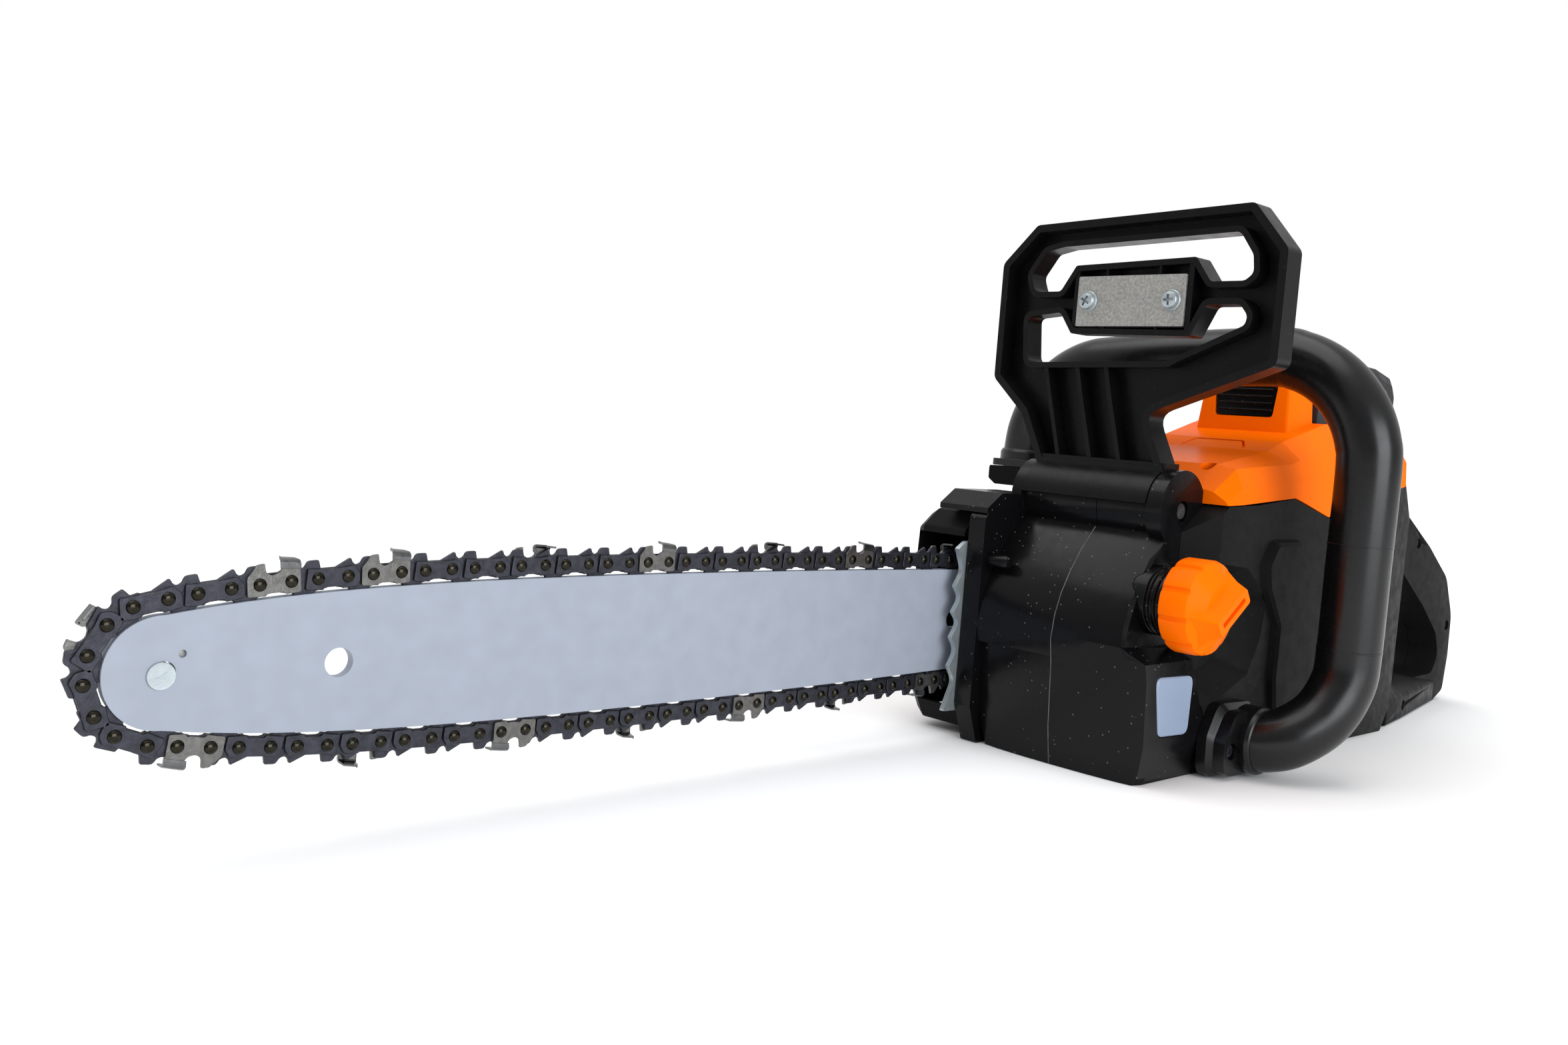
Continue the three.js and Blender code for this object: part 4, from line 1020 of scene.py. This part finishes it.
def make_guard():
    front, back, web = -70, -58, 2.4
    guard = prism("x", rounded(GUARD_OUTER, 2, 5), front, back)
    cut(guard, prism("x", rounded(offset(GUARD_OUTER, -3.6), 1, 5), front - 1, back - web))
    slots = [rounded(slot, 3, 4) for slot in (SLOT_UPPER, SLOT_LOWER)]
    walls = [prism("x", rounded(offset(slot, 2.7), 3, 4), front + 0.8, back)
             for slot in (SLOT_UPPER, SLOT_LOWER)]
    join(guard, *walls)
    ribs = [
        block(front + 1.2, back - 1, -33.4, -30.9, 196, 232),
        block(front + 1.2, back - 1, 26.9, 29.2, 198, 230),
    ]
    for y in (-16, 12):
        for z0, z1 in ((224, 230), (197, 202)):
            ribs.append(block(front + 1.6, back - 1, y - 0.6, y + 0.6, z0, z1))
    join(guard, *ribs)
    seat = rounded([(-31, 201), (27, 201), (27, 225), (-31, 225)], 0.4)
    join(guard, prism("x", seat, front + 2, back - 1))
    for y in (-4, 12, 30):
        line = [(y, 136.5), (y + 3.6, 150), (y + 8.6, 168), (y + 12.6, 184)]
        band = [(u - 1.1, z) for u, z in line] + [(u + 1.1, z) for u, z in reversed(line)]
        join(guard, prism("x", band, front + 1.6, back - 1))
    flap = arc(*PIVOT, 19, 10, 172, 30) + arc(*PIVOT, 16.7, 172, 10, 30)
    join(guard, prism("y", flap, -27, 41), block(front + 0.5, back, -28.6, 41, 135, 140.4))
    cut(guard, *[prism("x", slot, front - 5, back + 5) for slot in slots],
        prism("y", circle(*PIVOT, 16.65, 64), -60, 60))
    piece(guard, "hand_guard_tray", "guard_black", "guard", 0.45, 3, 30, ("front_guard",))
    outline = rounded([(-30.5, 201.4), (26.5, 201.4), (26.5, 224.6), (-30.5, 224.6)], 0.6, 2)
    plate = prism("x", outline, -69.8, -68.4)
    piece(plate, "guard_steel_plate", "raw_steel", "guard", 0.15, 1, 30, ("guard_plate",))
    for i, (y, z) in enumerate(PLATE_SCREWS):
        washer = turned("x", y, z, [(4.7, -69.8), (4.7, -70.4), (4.4, -70.7), (3, -70.7)], 32)
        piece(washer, f"guard_washer_{i + 1}", "zinc", "guard", 0, 1, 30)
        phillips("x", y, z, -70.6, -1, 4.1, f"guard_plate_screw_{i + 1}", "zinc", "guard",
                 (f"guard_screw_{i + 1}",), "zinc", 2.6, 0.5 + i)


# ---------------------------------------- oil cap and window
CAP_LOBES = 10


def fluted(r, depth):
    """A round outline whose broad lobes are parted by narrow grooves."""
    points = []
    for i in range(CAP_LOBES):
        for share, sink in ((0.0, 1), (0.1, 1), (0.17, 0.15), (0.3, 0), (0.55, 0), (0.8, 0), (0.93, 0.15)):
            angle = 2 * math.pi * (i + share) / CAP_LOBES + 0.2
            reach = r - depth * sink
            points.append((CAP[0] + reach * math.cos(angle), CAP[1] + reach * math.sin(angle)))
    return points


def make_oil_cap():
    steps = ((19.4, 0.5, -48), (20.6, 1.2, -48.8), (21, 1.3, -50), (21, 1.3, -59.4),
             (20.2, 0.9, -61.6), (18.4, 0.1, -62.8), (12.5, 0, -66.2), (11.5, 0, -66.8))
    cap = stack("y", [(fluted(r, depth), y) for r, depth, y in steps])
    grip = []
    for y, long, thin in ((-56, 17.8, 12.2), (-61.5, 17.6, 10.2), (-68, 14.4, 5.8), (-73, 12.8, 3.7)):
        grip.append((rounded([(-long, -thin), (long, -thin), (long, thin), (-long, thin)], 1.6, 3), y))
    wedge = stack("y", grip)
    slot = rounded([(-9.6, -1.15), (9.6, -1.15), (9.6, 1.15), (-9.6, 1.15)], 0.4, 2)
    cut(wedge, prism("y", slot, -90, -69.4))
    tilt = Matrix.Translation(Vector((CAP[0], 0, CAP[1])) * MM) @ Matrix.Rotation(math.radians(-35), 4, "Y")
    turn(wedge, tilt)
    join(cap, wedge)
    cut(cap, turned("y", *CAP, [(15.8, -40), (15.8, -53)], 40))
    piece(cap, "oil_cap_grip", "orange_plastic", "cap", 0.5, 3, 22, ("oil_cap",))
    profile = [(15.4, -31), (15.4, -38)]
    for y in (-38.6, -41.6, -44.6, -47.6):
        profile += [(14.4, y), (15.4, y - 0.7), (15.4, y - 1.3), (14.4, y - 2.0)]
    profile += [(14.4, -51.6), (13.9, -52)]
    neck = cut(turned("y", *CAP, profile, 48), rod("y", *CAP, 11.7, -60, -20, 40))
    piece(neck, "oil_filler_neck", "gloss_black", "case", 0.2, 2, 30, ("oil_neck",))
    outline = [(-92.2, 48.3), (-61.7, 47.3), (-62.6, 20.8), (-86.5, 21.7)]
    full, face = rounded(outline, 4, 5), rounded(offset(outline, -0.7), 3.6, 5)
    window = stack("y", [(full, -46.2), (full, -48.0), (face, -48.5)])
    piece(window, "oil_sight_window", "window_plastic", "case", 0.2, 2, 25, ("oil_window",))


# ---------------------------------------- inner parts keep their CAD shape
INNER_LOOKS = {
    "motor_stator": "copper",
    "terminal_block": "copper",
    "gear_plate": "alloy",
    "oil_pump": "alloy",
    "heat_sink": "alloy",
    "control_board": "board_green",
    "oil_tank": "tank_plastic",
    "cap_seal": "seal_rubber",
    "cooling_fan": "grey_plastic",
    "power_switch": "grey_plastic",
    "sprocket_washer": "zinc",
}


def dress_inner_parts():
    for name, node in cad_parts.items():
        node.data.materials.clear()
        node.data.materials.append(LOOKS[INNER_LOOKS.get(name, "steel")])


make_camera()
make_floor()
make_lights()
dress_inner_parts()
make_chain()
make_bar()
make_front_housing()
make_case()
make_cover()
make_battery()
make_sprocket_cover()
make_bumper()
make_front_handle()
make_rear_handle()
make_guard()
make_oil_cap()
